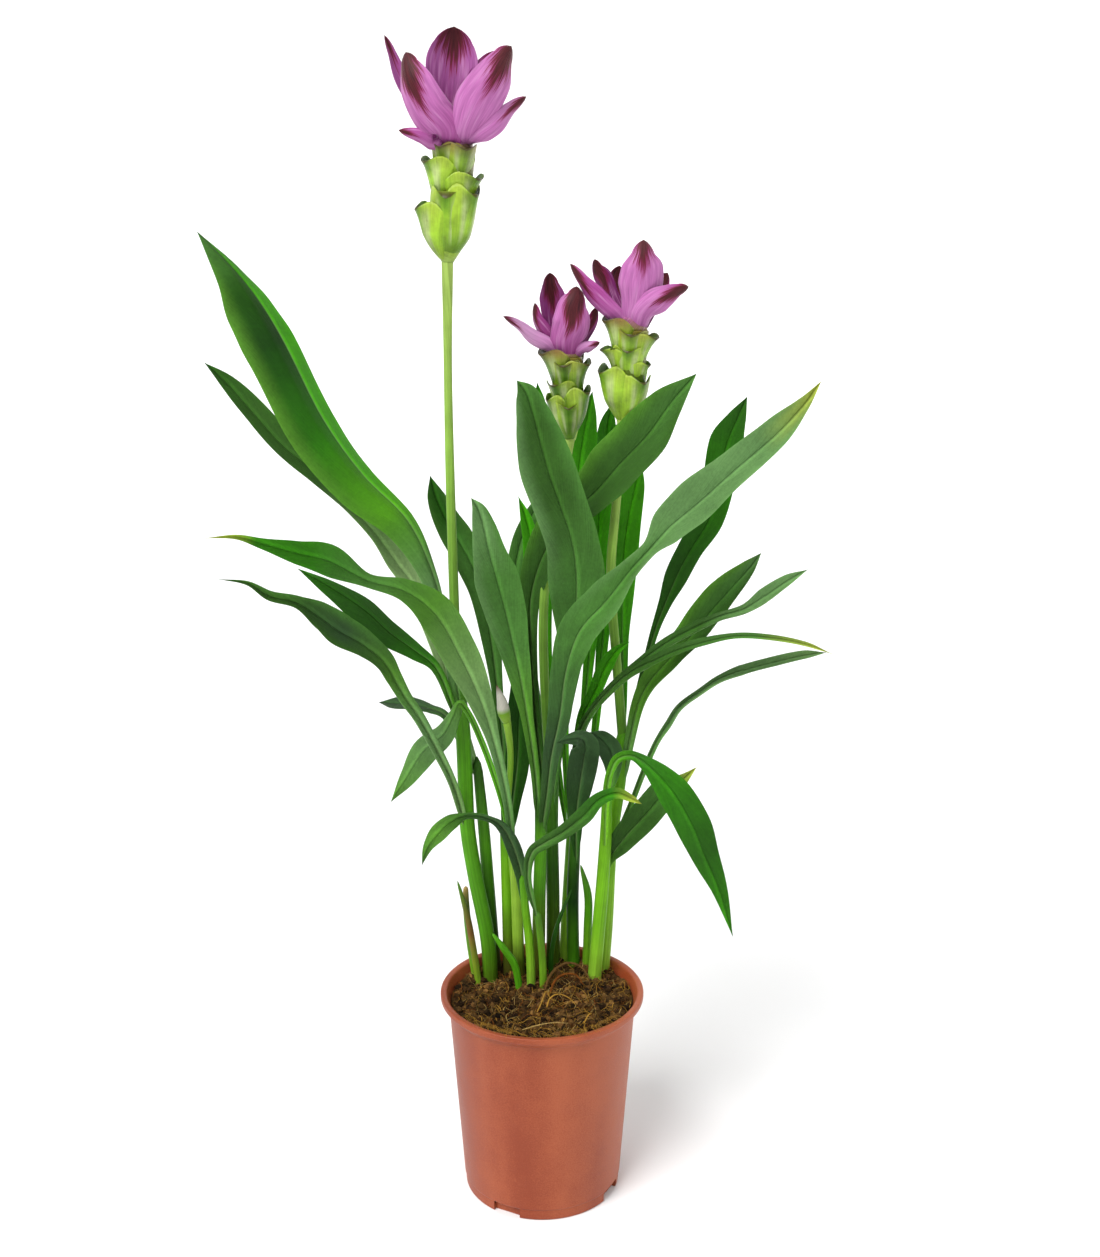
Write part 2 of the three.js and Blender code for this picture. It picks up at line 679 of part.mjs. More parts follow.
        stations: [
          [39, 23, 193, 2], [42, 28, 211, 3.5], [51, 27, 226, 8], [66, 23, 246, 10], [78, 20, 262, 10],
          [89, 17, 272, 4], [97, 15, 281, 0],
        ],
        turn: [0, -20],
      },
      {
        stations: [
          [41, 25, 234, 2], [43, 24, 260, 2], [45, 24, 276, 5], [43, 24, 289, 7.5], [37, 23, 297, 6],
          [30, 21, 302, 0],
        ],
        fold: 0.1,
      },
    ],
  },
  {
    name: "shoot_right_back",
    colour: "darkLeaf",
    path: [[39, 33, 118], [42, 35, 160], [45, 37, 223], [50, 38, 264], [52, 39, 298]],
    radii: [4.2, 4.2, 4, 4, 4.6],
    leaves: [
      {
        stations: [
          [46, 38, 217, 2.5], [58, 39, 248, 2], [66, 40, 270, 2], [74, 41, 289, 2], [81, 42, 300, 2.5],
          [88, 43, 311, 2.5], [101, 44, 321, 2.5], [113, 45, 329, 3], [129, 46, 335, 4.5],
          [148, 47, 340, 4.5], [166, 48, 344, 4], [181, 49, 346, 0],
        ],
        turn: [0, -45, -45],
      },
      {
        stations: [
          [49, 38, 250, 3], [56, 35, 292, 3.5], [61, 33, 317, 4.5], [67, 31, 331, 6], [79, 28, 347, 9.5],
          [91, 25, 362, 11], [104, 22, 380, 12], [115, 20, 394, 11], [127, 18, 409, 5.5],
          [133, 17, 418, 0],
        ],
        turn: [0, -40, -40],
        across: 5,
      },
      {
        stations: [
          [48, 39, 240, 2.5], [58, 54, 296, 2.5], [68, 62, 339, 2.5], [73, 65, 357, 3],
          [79, 68, 373, 4.5], [87, 71, 392, 8], [95, 74, 407, 8.5], [107, 79, 426, 10.5],
          [113, 83, 447, 11], [118, 88, 473, 11.5], [125, 91, 490, 6.5], [131, 94, 503, 0],
        ],
        turn: [0, -20],
      },
      {
        stations: [
          [47, 38, 240, 2], [52, 48, 309, 2.5], [51, 54, 353, 4.5], [51, 58, 385, 8], [52, 61, 411, 9.5],
          [55, 64, 433, 8.5], [59, 66, 451, 6], [62, 68, 468, 0],
        ],
        turn: [0, -5],
        fold: 0.2,
      },
    ],
  },
  {
    name: "shoot_back",
    colour: "brightLeaf",
    path: [[14, 50, 118], [17, 54, 172], [20, 58, 221]],
    radii: [3.4, 4, 4],
    leaves: [
      {
        stations: [
          [19, 58, 207, 2], [15, 63, 283, 2.5], [16, 69, 349, 4], [19, 74, 401, 6.5], [22, 79, 439, 9],
          [25, 83, 470, 10], [29, 86, 492, 6], [32, 88, 507, 0],
        ],
        fold: 0.25,
      },
      {
        stations: [
          [21, 58, 207, 2], [26, 66, 281, 2.5], [31, 74, 341, 4], [35, 82, 393, 7.5], [37, 88, 431, 8.5],
          [40, 92, 463, 8], [42, 95, 485, 5.5], [45, 97, 499, 0],
        ],
        turn: [0, 8],
        fold: 0.25,
      },
      {
        stations: [
          [22, 58, 207, 2], [34, 68, 281, 2.5], [39, 78, 339, 4], [43, 88, 391, 6], [46, 94, 430, 7.5],
          [48, 98, 459, 7.5], [50, 100, 478, 6], [52, 102, 488, 0],
        ],
        turn: [0, -8],
        fold: 0.25,
      },
      {
        stations: [
          [18, 58, 207, 2], [8, 67, 281, 2.5], [3, 76, 340, 3.5], [2, 86, 398, 5.5], [1, 93, 443, 7.5],
          [-1, 97, 481, 6.5], [-2, 99, 500, 4], [-3, 101, 511, 0],
        ],
        fold: 0.25,
      },
    ],
  },
  {
    name: "leaf_low_centre",
    colour: "brightLeaf",
    path: [[1, 18, 118], [0, 16, 150], [-3, 12, 184]],
    radii: [2.6, 2.4, 2.1],
    leaves: [
      {
        stations: [
          [-3, 12, 178, 2], [-9, 6, 211, 2.5], [-6, 3, 229, 3.5], [2, 1, 236, 4], [12, -1, 243, 4.5],
          [26, -4, 256, 5.5], [35, -8, 268, 4.5], [46, -12, 274, 3.5], [54, -15, 272, 2.5],
          [61, -17, 269, 0],
        ],
        turn: [0, -20],
        fold: 0.2,
      },
    ],
  },
  {
    name: "sprout_right",
    colour: "brightLeaf",
    path: [[29, 42, 118], [30, 41, 157], [30, 38, 183], [25, 33, 207]],
    radii: [2.8, 2.8, 2.6, 0.8],
    leaves: [],
  },
  {
    name: "sprout_left",
    colour: "sprout",
    path: [[-41, 25, 118], [-45, 27, 149], [-49, 29, 173], [-55, 30, 197]],
    radii: [2.4, 2.2, 2, 0.7],
    leaves: [],
  },
  {
    name: "stub_left",
    colour: "sprout",
    path: [[-43, 32, 118], [-48, 34, 154], [-50, 35, 179], [-50, 35, 191]],
    radii: [2.4, 2.4, 2.2, 1.6],
    leaves: [],
  },
  {
    name: "sprout_front_left",
    colour: "sprout",
    path: [[-14, 18, 118], [-18, 18, 143], [-25, 16, 156], [-32, 15, 167]],
    radii: [2.4, 2.4, 2.2, 0.8],
    leaves: [],
  },
  {
    name: "thread_leaf_centre",
    colour: "darkLeaf",
    path: [[6, 27, 118], [6, 27, 147], [10, 28, 167], [19, 30, 191]],
    radii: [1.8, 1.6, 1.4, 0.6],
    leaves: [],
  },
];

// Blooms: a stalk that stands in the top of its shoot, green cups, a crown of pink bracts.
// head and axis: foot and direction of the flower head. length: height of its green part.
// column: radii of the green column from its foot to COLUMN_RISE, and on up to the crown.
// cups: azimuth, lip height, reach of the lip and depth. bracts: their stations.
const BLOOMS = [
  {
    name: "left",
    shoot: "shoot_left",
    stalk: [[-53, 28.2, 324], [-54, 26, 386], [-55, 22, 462], [-55, 18, 528], [-54, 14, 594]],
    radii: [3, 3, 2.8, 2.5, 3.5],
    head: [-54, 14, 590],
    axis: [5, 0, 64],
    length: 62,
    column: [3.5, 7.5, 11, 11.5],
    cups: [
      [195, 28, 20.5, 27], [322, 38, 18.5, 33], [262, 36, 16, 31], [80, 33, 18, 28], [212, 54, 19.5, 20],
      [325, 47, 20, 19], [85, 57, 17.5, 22], [300, 60, 16, 16], [240, 60, 15.5, 15],
    ],
    bracts: [
      [
        [-50, 20, 655, 7], [-52, 22, 669, 8], [-52, 27, 683, 13.5], [-51, 30, 698, 15],
        [-50, 31, 709, 12], [-49, 30, 719, 0],
      ],
      [
        [-54, 9, 655, 7.5], [-54, 0, 662, 11], [-62, -5, 672, 12], [-69, -6, 685, 11], [-73, -3, 696, 6.5],
        [-74, 0, 703, 0],
      ],
      [
        [-44, 9, 655, 7], [-41, -1, 663, 9], [-34, -6, 676, 13], [-25, -7, 689, 11.5], [-20, -4, 699, 7],
        [-16, -1, 706, 0],
      ],
      [[-42, 12, 655, 5], [-34, 1, 659, 5.5], [-25, 0, 665, 6], [-17, 2, 673, 4], [-8, 4, 680, 0]],
      [[-56, 17, 655, 5], [-69, 23, 674, 5.5], [-79, 26, 690, 5], [-84, 27, 703, 3], [-88, 25, 714, 0]],
      [[-57, 11, 658, 3.5], [-61, 4, 656, 4.5], [-67, 1, 659, 4], [-79, 0, 662, 0]],
      [[-44, 19, 655, 6], [-39, 26, 674, 8], [-34, 29, 690, 8], [-27, 30, 706, 0]],
    ],
  },
  {
    name: "centre",
    shoot: "shoot_centre_back",
    stalk: [[6, 41.2, 254], [2, 42, 317], [1, 44, 375], [5, 46, 420], [13, 47, 457], [17, 48, 486]],
    radii: [3, 3, 2.8, 2.6, 3.8],
    head: [17, 48, 482],
    axis: [-2, 0, 50],
    length: 50,
    column: [3.8, 6, 8.5, 9.5],
    cups: [
      [200, 25, 14, 22], [325, 29, 15.5, 24], [270, 21, 13.5, 20], [90, 29, 15, 24], [235, 35, 16, 15],
      [207, 50, 18.5, 17], [322, 45, 17, 17], [80, 48, 16, 19], [262, 45, 14.5, 17],
    ],
    bracts: [
      [[12, 52, 534, 6.5], [8, 55, 551, 8.5], [6, 58, 566, 8.5], [5, 58, 575, 5.5], [5, 58, 582, 0]],
      [
        [15, 42.5, 534, 7], [15, 38, 543, 10], [18, 34, 553, 11.5], [19, 34, 563, 9.5], [21, 36, 570, 6],
        [21, 39, 575, 0],
      ],
      [[9, 45, 534, 4.5], [3, 42, 540, 5], [-6, 43, 545, 5], [-13, 44, 551, 3.5], [-23, 46, 557, 0]],
      [[9, 47, 535, 5], [3, 44, 546, 5.5], [-3, 44, 556, 4], [-4, 44, 565, 0]],
      [[21, 49, 535, 5], [27, 50, 547, 5.5], [32, 50, 556, 4], [33, 50, 562, 0]],
      [[20.5, 44.5, 534, 4], [25, 41, 538, 4], [30, 40, 540, 3], [35, 40, 542, 0]],
      [[16, 54, 535, 6], [17, 59, 551, 7.5], [20, 61, 563, 6.5], [21, 60, 570, 0]],
    ],
  },
  {
    name: "right",
    shoot: "shoot_right_back",
    stalk: [[52, 38.8, 286], [47, 41, 344], [43, 43, 398], [46, 44, 444], [50, 45, 496]],
    radii: [3.2, 3, 3, 2.8, 4],
    head: [50, 45, 492],
    axis: [4, 0, 59],
    length: 57,
    column: [4, 6, 9.5, 10.5],
    cups: [
      [203, 31, 19, 28], [305, 27, 17, 26], [70, 33, 16, 26], [190, 44, 18, 13], [340, 37, 13.5, 12],
      [262, 45, 14, 18], [200, 58, 19, 17], [332, 52, 18, 15], [85, 52, 16, 18], [268, 53, 15.5, 17],
    ],
    bracts: [
      [
        [54.5, 39.5, 551, 7], [57, 36, 565, 9.5], [59, 33, 576, 13.5], [60, 31, 586, 12.5],
        [60, 31, 594, 7.5], [60, 34, 602, 0],
      ],
      [
        [58, 40, 551, 6.5], [61, 35, 560, 8], [68, 31, 566, 8.5], [75, 31, 570, 6.5], [81, 32, 573, 4],
        [87, 34, 575, 0],
      ],
      [[48.5, 41.5, 552.5, 5.5], [41, 39, 560, 6], [32, 38, 569, 6.5], [25, 38, 577, 4.5], [17, 40, 588, 0]],
      [[49, 48.5, 551, 5.5], [41, 52, 567, 6], [37, 54, 578, 6.5], [33, 55, 585, 4], [32, 56, 590, 0]],
      [[52, 51, 551, 6.5], [48, 57, 569, 7.5], [46, 60, 579, 6.5], [47, 60, 586, 0]],
      [[59.5, 48.5, 551, 6], [68, 55, 566, 6.5], [73, 58, 575, 5.5], [76, 58, 582, 0]],
    ],
  },
];

const bodies = new Map();
for (const shoot of SHOOTS) {
  bodies.set(shoot.name, fuse([stem(shoot.path, shoot.radii), ...shoot.leaves.map(leaf)]));
}

const group = new THREE.Group();
group.name = "potted_siam_tulip";

const holes = SHOOTS.map((shoot) => stem(shoot.path, shoot.radii, CLEAR));
group.add(meshOf("pot", potBody(), COLOURS.pot, 0.45));
group.add(meshOf("soil", soilBody(holes), COLOURS.soil, 0.95));

const heads = [];
for (const bloom of BLOOMS) {
  const frame = headFrame(bloom.head, bloom.axis);
  const top = { ...frame, foot: frame.foot.clone().addScaledVector(frame.up, bloom.length + CLEAR) };
  const stalk = stem(bloom.stalk, bloom.radii);
  const core = columnBody(frame, bloom.column, bloom.length);
  const cups = bloom.cups.map((c) => cup(frame, bloom.column, c));
  const spike = filled(fuse([stalk, core, ...cups]));
  const plugRadii = [bloom.column.at(-1) - 1, bloom.column.at(-1) - 4];
  const plug = stem([top.foot.toArray(), headPoint(top, PLUG_RISE, 0, 0).toArray()], plugRadii);
  const coma = fuse([plug, ...bloom.bracts.map((b) => bract(top, b))]);
  const socket = stem(bloom.stalk, bloom.radii, CLEAR);
  bodies.set(bloom.shoot, bodies.get(bloom.shoot).subtract(socket));
  heads.push(meshOf(`bloom_${bloom.name}_spike`, spike, COLOURS.cup, 0.55));
  heads.push(meshOf(`bloom_${bloom.name}_bracts`, coma, COLOURS.bract, 0.6));
}

// Young white bud on its own thin stalk, standing in the top of the back left shoot
const BUD_STALK = [[-24, 41, 222], [-23, 36, 242], [-21, 31, 262], [-20, 27, 286], [-22, 24, 308]];
const BUD_RADII = [2, 1.9, 1.9, 2, 2.6];
const BUD = [[-22, 24, 308], [-24, 22.6, 315], [-25, 21.6, 322], [-28, 20, 333]];
const budStalk = stem(BUD_STALK, BUD_RADII, 0, 6);
const budBody = stem(BUD, [2.6, 4, 3.6, 0.6], 0, 6);
bodies.set("shoot_back_left", bodies.get("shoot_back_left").subtract(stem(BUD_STALK, BUD_RADII, CLEAR, 6)));
heads.push(meshOf("bud", fuse([budStalk, budBody]), COLOURS.bud, 0.6));

for (const { name, colour } of SHOOTS) group.add(meshOf(name, bodies.get(name), COLOURS[colour], 0.55));
group.add(...heads);

export default group;
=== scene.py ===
# Siam tulip in a terracotta-coloured nursery pot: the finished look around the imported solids.
# Places below are in millimetres, as in the part's own source. Blender's objects are in metres.
import random
from math import copysign, cos, exp, hypot, pi, radians, sin, sqrt

import bmesh
import bpy
from mathutils import Matrix, Vector, noise


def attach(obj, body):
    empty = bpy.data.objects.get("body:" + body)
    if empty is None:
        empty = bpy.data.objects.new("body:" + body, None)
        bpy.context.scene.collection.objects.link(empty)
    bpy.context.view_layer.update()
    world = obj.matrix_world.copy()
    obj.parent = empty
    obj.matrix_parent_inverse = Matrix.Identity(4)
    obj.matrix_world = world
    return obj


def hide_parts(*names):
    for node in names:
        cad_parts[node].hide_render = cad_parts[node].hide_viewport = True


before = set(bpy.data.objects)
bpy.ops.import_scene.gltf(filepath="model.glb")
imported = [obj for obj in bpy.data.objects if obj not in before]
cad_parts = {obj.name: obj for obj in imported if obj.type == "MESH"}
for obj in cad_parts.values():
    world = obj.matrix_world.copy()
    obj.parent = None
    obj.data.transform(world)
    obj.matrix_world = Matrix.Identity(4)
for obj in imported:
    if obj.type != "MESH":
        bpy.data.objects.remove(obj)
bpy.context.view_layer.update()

MM = 0.001
RIGHT = Vector((1, 0, 0))

# Camera, fitted to the photograph, and the direction that leaves turn their upper side to
PHOTO_HEIGHT_PX = 1257
FOCAL_PX = 1600
CAMERA_PLACE = (5.1, -930, 628.4)
CAMERA_PITCH = 15.23
SENSOR_MM = 36
FRONT = Vector((0, -0.965, 0.262))

# Studio. OWN_SHARE is the share of a screen colour that a surface itself has in this light, and
# RICHNESS makes up for the paleness that gloss adds to it.
FLOOR_PROFILE = [
    (0, 0), (400, 0), (3000, 0), (3500, 40), (3900, 200), (4200, 560), (4300, 1000), (4300, 2600),
]
SKY_STRENGTH = 0.6
SUN_STRENGTH = 3.0
SUN_WIDTH = 0.6
SUN_PLACE = (-0.62, -0.8, 1.15)
OWN_SHARE = 0.6
RICHNESS = 1.3
FLOOR_STEPS = 96

# Pot
POT_HEIGHT = 136
RIM_RADIUS = 65
RIM_TOP_WIDTH = 4
RIM_DROP = 0.4
RIM_BAND_HEIGHT = 4
NECK_RADIUS = 59.6
NECK_HEIGHT = 127
FOOT_RADIUS = 50.2
BASE_STEP_HEIGHT = 8
BASE_STEP = 0.8
WALL = 1.5
FLOOR_LIFT = 3
FOOT_RING_INNER = 45
CENTRE_PAD_RADIUS = 26
DRAIN_HOLES = 6
DRAIN_RADIUS = 4
DRAIN_CIRCLE = 36
DRAIN_ANGLE = 30
NOTCHES = 4
NOTCH_WIDTH = 18.5
NOTCH_HEIGHT = 7.5
NOTCH_ANGLE = 243
NOTCH_ROUNDING = 1.2
POT_STEPS = 160
SHARP_ANGLE = 38

# Potting soil
SOIL_LEVEL = 126
SOIL_BANK = 3.5
SOIL_GAP = 0.4
SOIL_CELLS = 160
HEAP = (22, 22)
HOLLOW = (-24, -14)
CRUMBS = 3600
FIBRES = 1500
RIM_FIBRES = 60
BATCH = 40

# Plant. RUN_SCALE is how many mm one unit of the skins' map stands for.
RUN_SCALE = 10
THINNEST = 0.12
BLADE_THICK = 0.8
PETIOLE_THICK = 3
LEAF_ROWS = 8
LEAF_SIDES = 36
EDGED_LEAF_SIDES = 64
STEM_SIDES = 24
BRACT_HOLLOW = 0.45
BRACT_LEAN = 0.9
BRACT_INSIDE = (0.84, 0.76, 0.88)
BRACT_ROWS = 7
BRACT_SIDES = 28
TOP_LIP_RISE = 3.5
CUP_TONES = "cup_foot cup_belly cup_mouth cup_hood cup_pale cup_warm cup_shade"
CUP_INSIDE_SHADE = (0.32, 0.5, 0.18)
CUP_ROWS = 22
CUP_SIDES = 48
CORE_TONES = "stalk_top cup_foot cup_shade cup_shade cup_neck cup_neck"
COLUMN_RISE = 22
PLUG_RISE = 9


def lerp(a, b, t):
    return a + (b - a) * t


def clamp(x, low=0.0, high=1.0):
    return min(max(x, low), high)


def smooth(low, high, x):
    """0 below low, 1 above high, and an even turn between."""
    t = clamp((x - low) / (high - low))
    return t * t * (3 - 2 * t)


def mixed(colour, other, share):
    return tuple(lerp(c, o, share) for c, o in zip(colour, other))


def spread(values, t):
    """The number of the interval between listed values that t, 0 to 1, lies in, and how far in."""
    x = clamp(t) * (len(values) - 1)
    i = min(int(x), len(values) - 2)
    return i, x - i


def along(values, t):
    """A number or a colour that runs through the listed ones as t goes from 0 to 1."""
    i, w = spread(values, t)
    a, b = values[i : i + 2]
    return mixed(a, b, w) if isinstance(a, tuple) else lerp(a, b, w)


def curve(w, start, start_slope, end, end_slope):
    """A cubic from start to end with the given slopes, as w goes from 0 to 1."""
    return (
        (2 * w**3 - 3 * w**2 + 1) * start
        + (w**3 - 2 * w**2 + w) * start_slope
        + (3 * w**2 - 2 * w**3) * end
        + (w**3 - w**2) * end_slope
    )


def steady(values, t):
    """The listed numbers joined by a soft curve that never passes beyond them."""
    i, w = spread(values, t)
    steps = [b - a for a, b in zip(values, values[1:])]

    def slope(k):
        if k == 0 or k == len(steps):
            return steps[min(k, len(steps) - 1)]
        a, b = steps[k - 1], steps[k]
        return 2 * a * b / (a + b) if a * b > 0 else 0.0

    return curve(w, values[i], slope(i), values[i + 1], slope(i + 1))


def linear(*colour):
    """The surface colour that looks like the given screen colour, 0 to 255, in the studio light."""
    grey = sum(colour) / 3
    rich = [clamp(grey + RICHNESS * (c - grey), 4, 250) for c in colour]
    return tuple(OWN_SHARE * ((c / 255 + 0.055) / 1.055) ** 2.4 for c in rich)


class Path:
    """A soft centripetal line through places, with t from 0 to 1 evenly over their intervals."""

    def __init__(self, places):
        self.places = [Vector(p[:3]) for p in places]
        self.last = len(self.places) - 1

    def at(self, t):
        p = self.places
        i, w = spread(p, t)
        p1, p2 = p[i], p[i + 1]
        p0 = p[i - 1] if i > 0 else 2 * p1 - p2
        p3 = p[i + 2] if i + 2 <= self.last else 2 * p2 - p1
        d0, d1, d2 = [max((b - a).length, 1e-4) ** 0.5 for a, b in ((p0, p1), (p1, p2), (p2, p3))]
        m1 = ((p1 - p0) / d0 - (p2 - p0) / (d0 + d1) + (p2 - p1) / d1) * d1
        m2 = ((p2 - p1) / d1 - (p3 - p1) / (d1 + d2) + (p3 - p2) / d2) * d1
        return curve(w, p1, m1, p2, m2)

    def steps(self, rows):
        """From end to end: t, the place there, the direction of the line, and the distance run."""
        last = self.at(0)
        run = 0.0
        for row in range(rows + 1):
            t = row / rows
            here = self.at(t)
            run += (here - last).length
            last = here
            yield t, here, (self.at(t + 0.002) - self.at(t - 0.002)).normalized(), run


# Skins: a grid whose two sides meet, bent round a stem, a leaf or a petal
def new_mesh():
    bm = bmesh.new()
    bm.verts.layers.float_color.new("tint")
    bm.verts.layers.float.new("mark")
    bm.loops.layers.uv.new("run")
    return bm


def skin(bm, rows, columns, place, finish=0):
    """Adds a closed skin. place(row, a) gives a vertex's place in mm, its colour, its run along
    and across in mm, and its mark. row counts 0 to rows, and a is the angle round the section."""
    tint = bm.verts.layers.float_color["tint"]
    mark = bm.verts.layers.float["mark"]
    run = bm.loops.layers.uv["run"]
    made = bmesh.ops.create_grid(bm, x_segments=columns, y_segments=rows, size=1)["verts"]
    runs = {}
    for vert in made:
        row = round((vert.co.y + 1) / 2 * rows)
        vert.co, colour, runs[vert], vert[mark] = place(row, pi * (vert.co.x + 1))
        vert[tint] = (*colour, 1)
    faces = {face for vert in made for face in vert.link_faces}
    for face in faces:
        face.smooth = True
        face.material_index = finish
        for loop in face.loops:
            loop[run].uv = [distance / RUN_SCALE for distance in runs[loop.vert]]
    bmesh.ops.remove_doubles(bm, verts=made, dist=0.002)
    edges = {edge for face in faces if face.is_valid for edge in face.edges if edge.is_boundary}
    bmesh.ops.holes_fill(bm, edges=list(edges), sides=0)


def turned(bm, profile, steps):
    """Turns a profile of radii and heights once round the upright axis."""
    line = [bm.verts.new((r, 0, z)) for r, z in profile]
    edges = [bm.edges.new(pair) for pair in zip(line, line[1:])]
    round_axis = dict(cent=(0, 0, 0), axis=(0, 0, 1), angle=2 * pi, use_merge=True)
    bmesh.ops.spin(bm, geom=line + edges, steps=steps, **round_axis)
    bmesh.ops.remove_doubles(bm, verts=bm.verts, dist=0.001)
    for face in bm.faces:
        face.smooth = True


def in_scene(name, data):
    piece = bpy.data.objects.new(name, data)
    bpy.context.scene.collection.objects.link(piece)
    return piece


def mesh_from(name, bm):
    """The finished bmesh as a mesh in metres, with its faces outwards."""
    bmesh.ops.scale(bm, vec=(MM, MM, MM), verts=bm.verts)
    bmesh.ops.recalc_face_normals(bm, faces=bm.faces)
    mesh = bpy.data.meshes.new(name)
    bm.to_mesh(mesh)
    bm.free()
    return mesh


def finished(name, bm, finishes, *nodes):
    """Makes the mesh a piece that stands for its solids."""
    mesh = mesh_from(name, bm)
    for paint in finishes:
        mesh.materials.append(paint)
    piece = in_scene(name, mesh)
    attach(piece, "root")
    if nodes:
        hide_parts(*nodes)
    return piece


# Materials
class Number:
    """A number or colour in a material, on which Python's operators add Math nodes."""

    def __init__(self, paint, socket):
        self.paint = paint
        self.socket = socket

    def math(self, operation, *values):
        return self.paint.node("Math", {"operation": operation}, dict(enumerate(values)))

    def __add__(self, other):
        return self.math("ADD", self, other)

    def __sub__(self, other):
        return self.math("SUBTRACT", self, other)

    def __rsub__(self, other):
        return self.math("SUBTRACT", other, self)

    def __mul__(self, other):
        return self.math("MULTIPLY", self, other)

    __radd__ = __add__
    __rmul__ = __mul__

    def __abs__(self):
        return self.math("ABSOLUTE", self)

    def turn(self, low, high):
        """0 below low, 1 above high, and an even turn between."""
        values = {"Value": self, "From Min": low, "From Max": high}
        return self.paint.node("MapRange", {"interpolation_type": "SMOOTHSTEP"}, values)


class Paint:
    """A material whose nodes are added by name, and which ends in one Principled shader."""

    def __init__(self, name, **constants):
        self.material = bpy.data.materials.new(name)
        self.material.use_nodes = True
        self.tree = self.material.node_tree
        self.shader = self.tree.nodes["Principled BSDF"]
        for key, value in constants.items():
            self.shader.inputs[key.replace("_", " ")].default_value = value

    def put(self, socket, value):
        if isinstance(value, Number):
            self.tree.links.new(value.socket, socket)
        else:
            socket.default_value = value

    def node(self, kind, settings, values, output=0):
        made = self.tree.nodes.new("ShaderNode" + kind)
        for key, value in settings.items():
            setattr(made, key, value)
        for key, value in values.items():
            self.put(made.inputs[key], value)
        return Number(self, made.outputs[output])

    def mix(self, factor, a, b, blend="MIX"):
        a, b = [(*c, 1) if isinstance(c, tuple) else c for c in (a, b)]
        settings = {"data_type": "RGBA", "blend_type": blend}
        return self.node("Mix", settings, {0: factor, 6: a, 7: b}, 2)

    def shaded(self, colour, light):
        return self.mix(1.0, colour, light, "MULTIPLY")

    def noise(self, vector, scale, detail=2.0, roughness=0.5):
        values = {"Vector": vector, "Scale": scale, "Detail": detail, "Roughness": roughness}
        return self.node("TexNoise", {}, values)

    def streaks(self, across, length, detail=2.0, roughness=0.5):
        return self.noise(self.node("CombineXYZ", {}, {0: across, 1: length}), 1.0, detail, roughness)

    def place(self):
        return self.node("TexCoord", {}, {}, "Object")

    def attribute(self, name, output="Fac"):
        return self.node("Attribute", {"attribute_name": name}, {}, output)

    def skin(self):
        """Distances along and across the piece in mm, and its tint."""
        uv = self.node("UVMap", {"uv_map": "run"}, {})
        runs = [self.node("SeparateXYZ", {}, {0: uv}, k) * RUN_SCALE for k in (0, 1)]
        return *runs, self.attribute("tint", "Color")

    def show(self, colour, roughness=None, height=None, depth=None):
        """Links the colour, the roughness and a relief of the given depth in mm."""
        self.put(self.shader.inputs["Base Color"], colour)
        if roughness is not None:
            self.put(self.shader.inputs["Roughness"], roughness)
        if height is not None:
            bump = self.node("Bump", {}, {"Height": height, "Distance": depth * MM, "Strength": 1.0})
            self.put(self.shader.inputs["Normal"], bump)
        return self.material


def leaf_finish():
    """Parallel veins that run out from the midrib, with painted shade in its groove and beside it and a
    painted highlight on its other side. The mark is how light the midrib is, in pale colour and in painted
    highlight.
    """
    paint = Paint("leaf skin", Specular_IOR_Level=0.12)
    length, across, tint = paint.skin()
    mark = paint.attribute("mark")
    slope = length - 4.2 * abs(across)
    veins = paint.streaks(slope * 0.55, length * 0.012, 2.0, 0.6)
    fine = paint.streaks(slope * 1.9, length * 0.05, 1.0)
    patches = paint.noise(paint.place(), 42.0, 4.0, 0.6)
    grain = paint.noise(paint.place(), 620.0)
    green = paint.shaded(tint, -0.12 + 0.62 * veins + 0.36 * fine + 0.76 * patches + 0.5 * grain)
    # Painted shade: groove darkens the midrib's groove and shade a band left of it. gleam is a painted
    # highlight along a band right of it.
    groove = 1 - abs(across + 0.1).turn(0.1, 0.7)
    shade = 1 - abs(across + 1.6).turn(0.2, 2.2)
    gleam = 1 - abs(across - 1.3).turn(0.1, 2.0)
    shaded_blade = paint.shaded(green, 1 - 0.3 * groove - 0.06 * shade + (0.36 + 0.24 * mark) * gleam)
    crease = 1 - abs(across - 0.4).turn(0.1, 0.9)
    colour = paint.mix(0.34 * mark * crease, shaded_blade, linear(168, 198, 140))
    return paint.show(colour, 0.4 + 0.2 * patches, veins + 0.5 * fine - 1.6 * groove, 0.3)


def stem_finish():
    """Fine ribs along the stem, with paler and darker runs."""
    paint = Paint("stem skin", Specular_IOR_Level=0.14)
    length, across, tint = paint.skin()
    streaks = paint.streaks(across * 0.9, length * 0.01, 3.0, 0.6)
    fine = paint.streaks(across * 3.0, length * 0.03)
    patches = paint.noise(paint.place(), 55.0, 3.0)
    colour = paint.shaded(tint, -0.14 + 1.2 * streaks + 0.4 * fine + 0.68 * patches)
    return paint.show(colour, 0.38 + 0.2 * patches, streaks + 0.4 * fine, 0.35)


def petal_finish():
    """Pink bracts. The mark is how far a place lies towards the dark tip."""
    paint = Paint("pink bract skin", Specular_IOR_Level=0.2, Sheen_Weight=0.08)
    length, across, tint = paint.skin()
    mark = paint.attribute("mark")
    veins = paint.streaks(across * 0.9, length * 0.03, 3.0, 0.65)
    fine = paint.streaks(across * 3.0, length * 0.08)
    broad = paint.streaks(across * 0.35, length * 0.035)
    deep = paint.shaded(tint, -0.02 + 0.84 * veins + 0.5 * fine + 0.7 * broad)
    pink = paint.mix((broad + 0.5 * fine).turn(0.72, 1.0) * 0.5, deep, linear(236, 186, 226))
    reach = mark + 0.62 * (veins - 0.5) + 0.4 * (fine - 0.5)
    brown = paint.mix((fine + 0.4 * broad).turn(0.5, 0.9), linear(56, 17, 28), linear(108, 48, 54))
    rosy = paint.mix(reach.turn(-0.14, 0.02), pink, linear(146, 52, 92))
    colour = paint.mix(reach.turn(-0.04, 0.1), rosy, brown)
    return paint.show(colour, 0.36 + 0.15 * fine, veins + 0.4 * fine, 0.25)


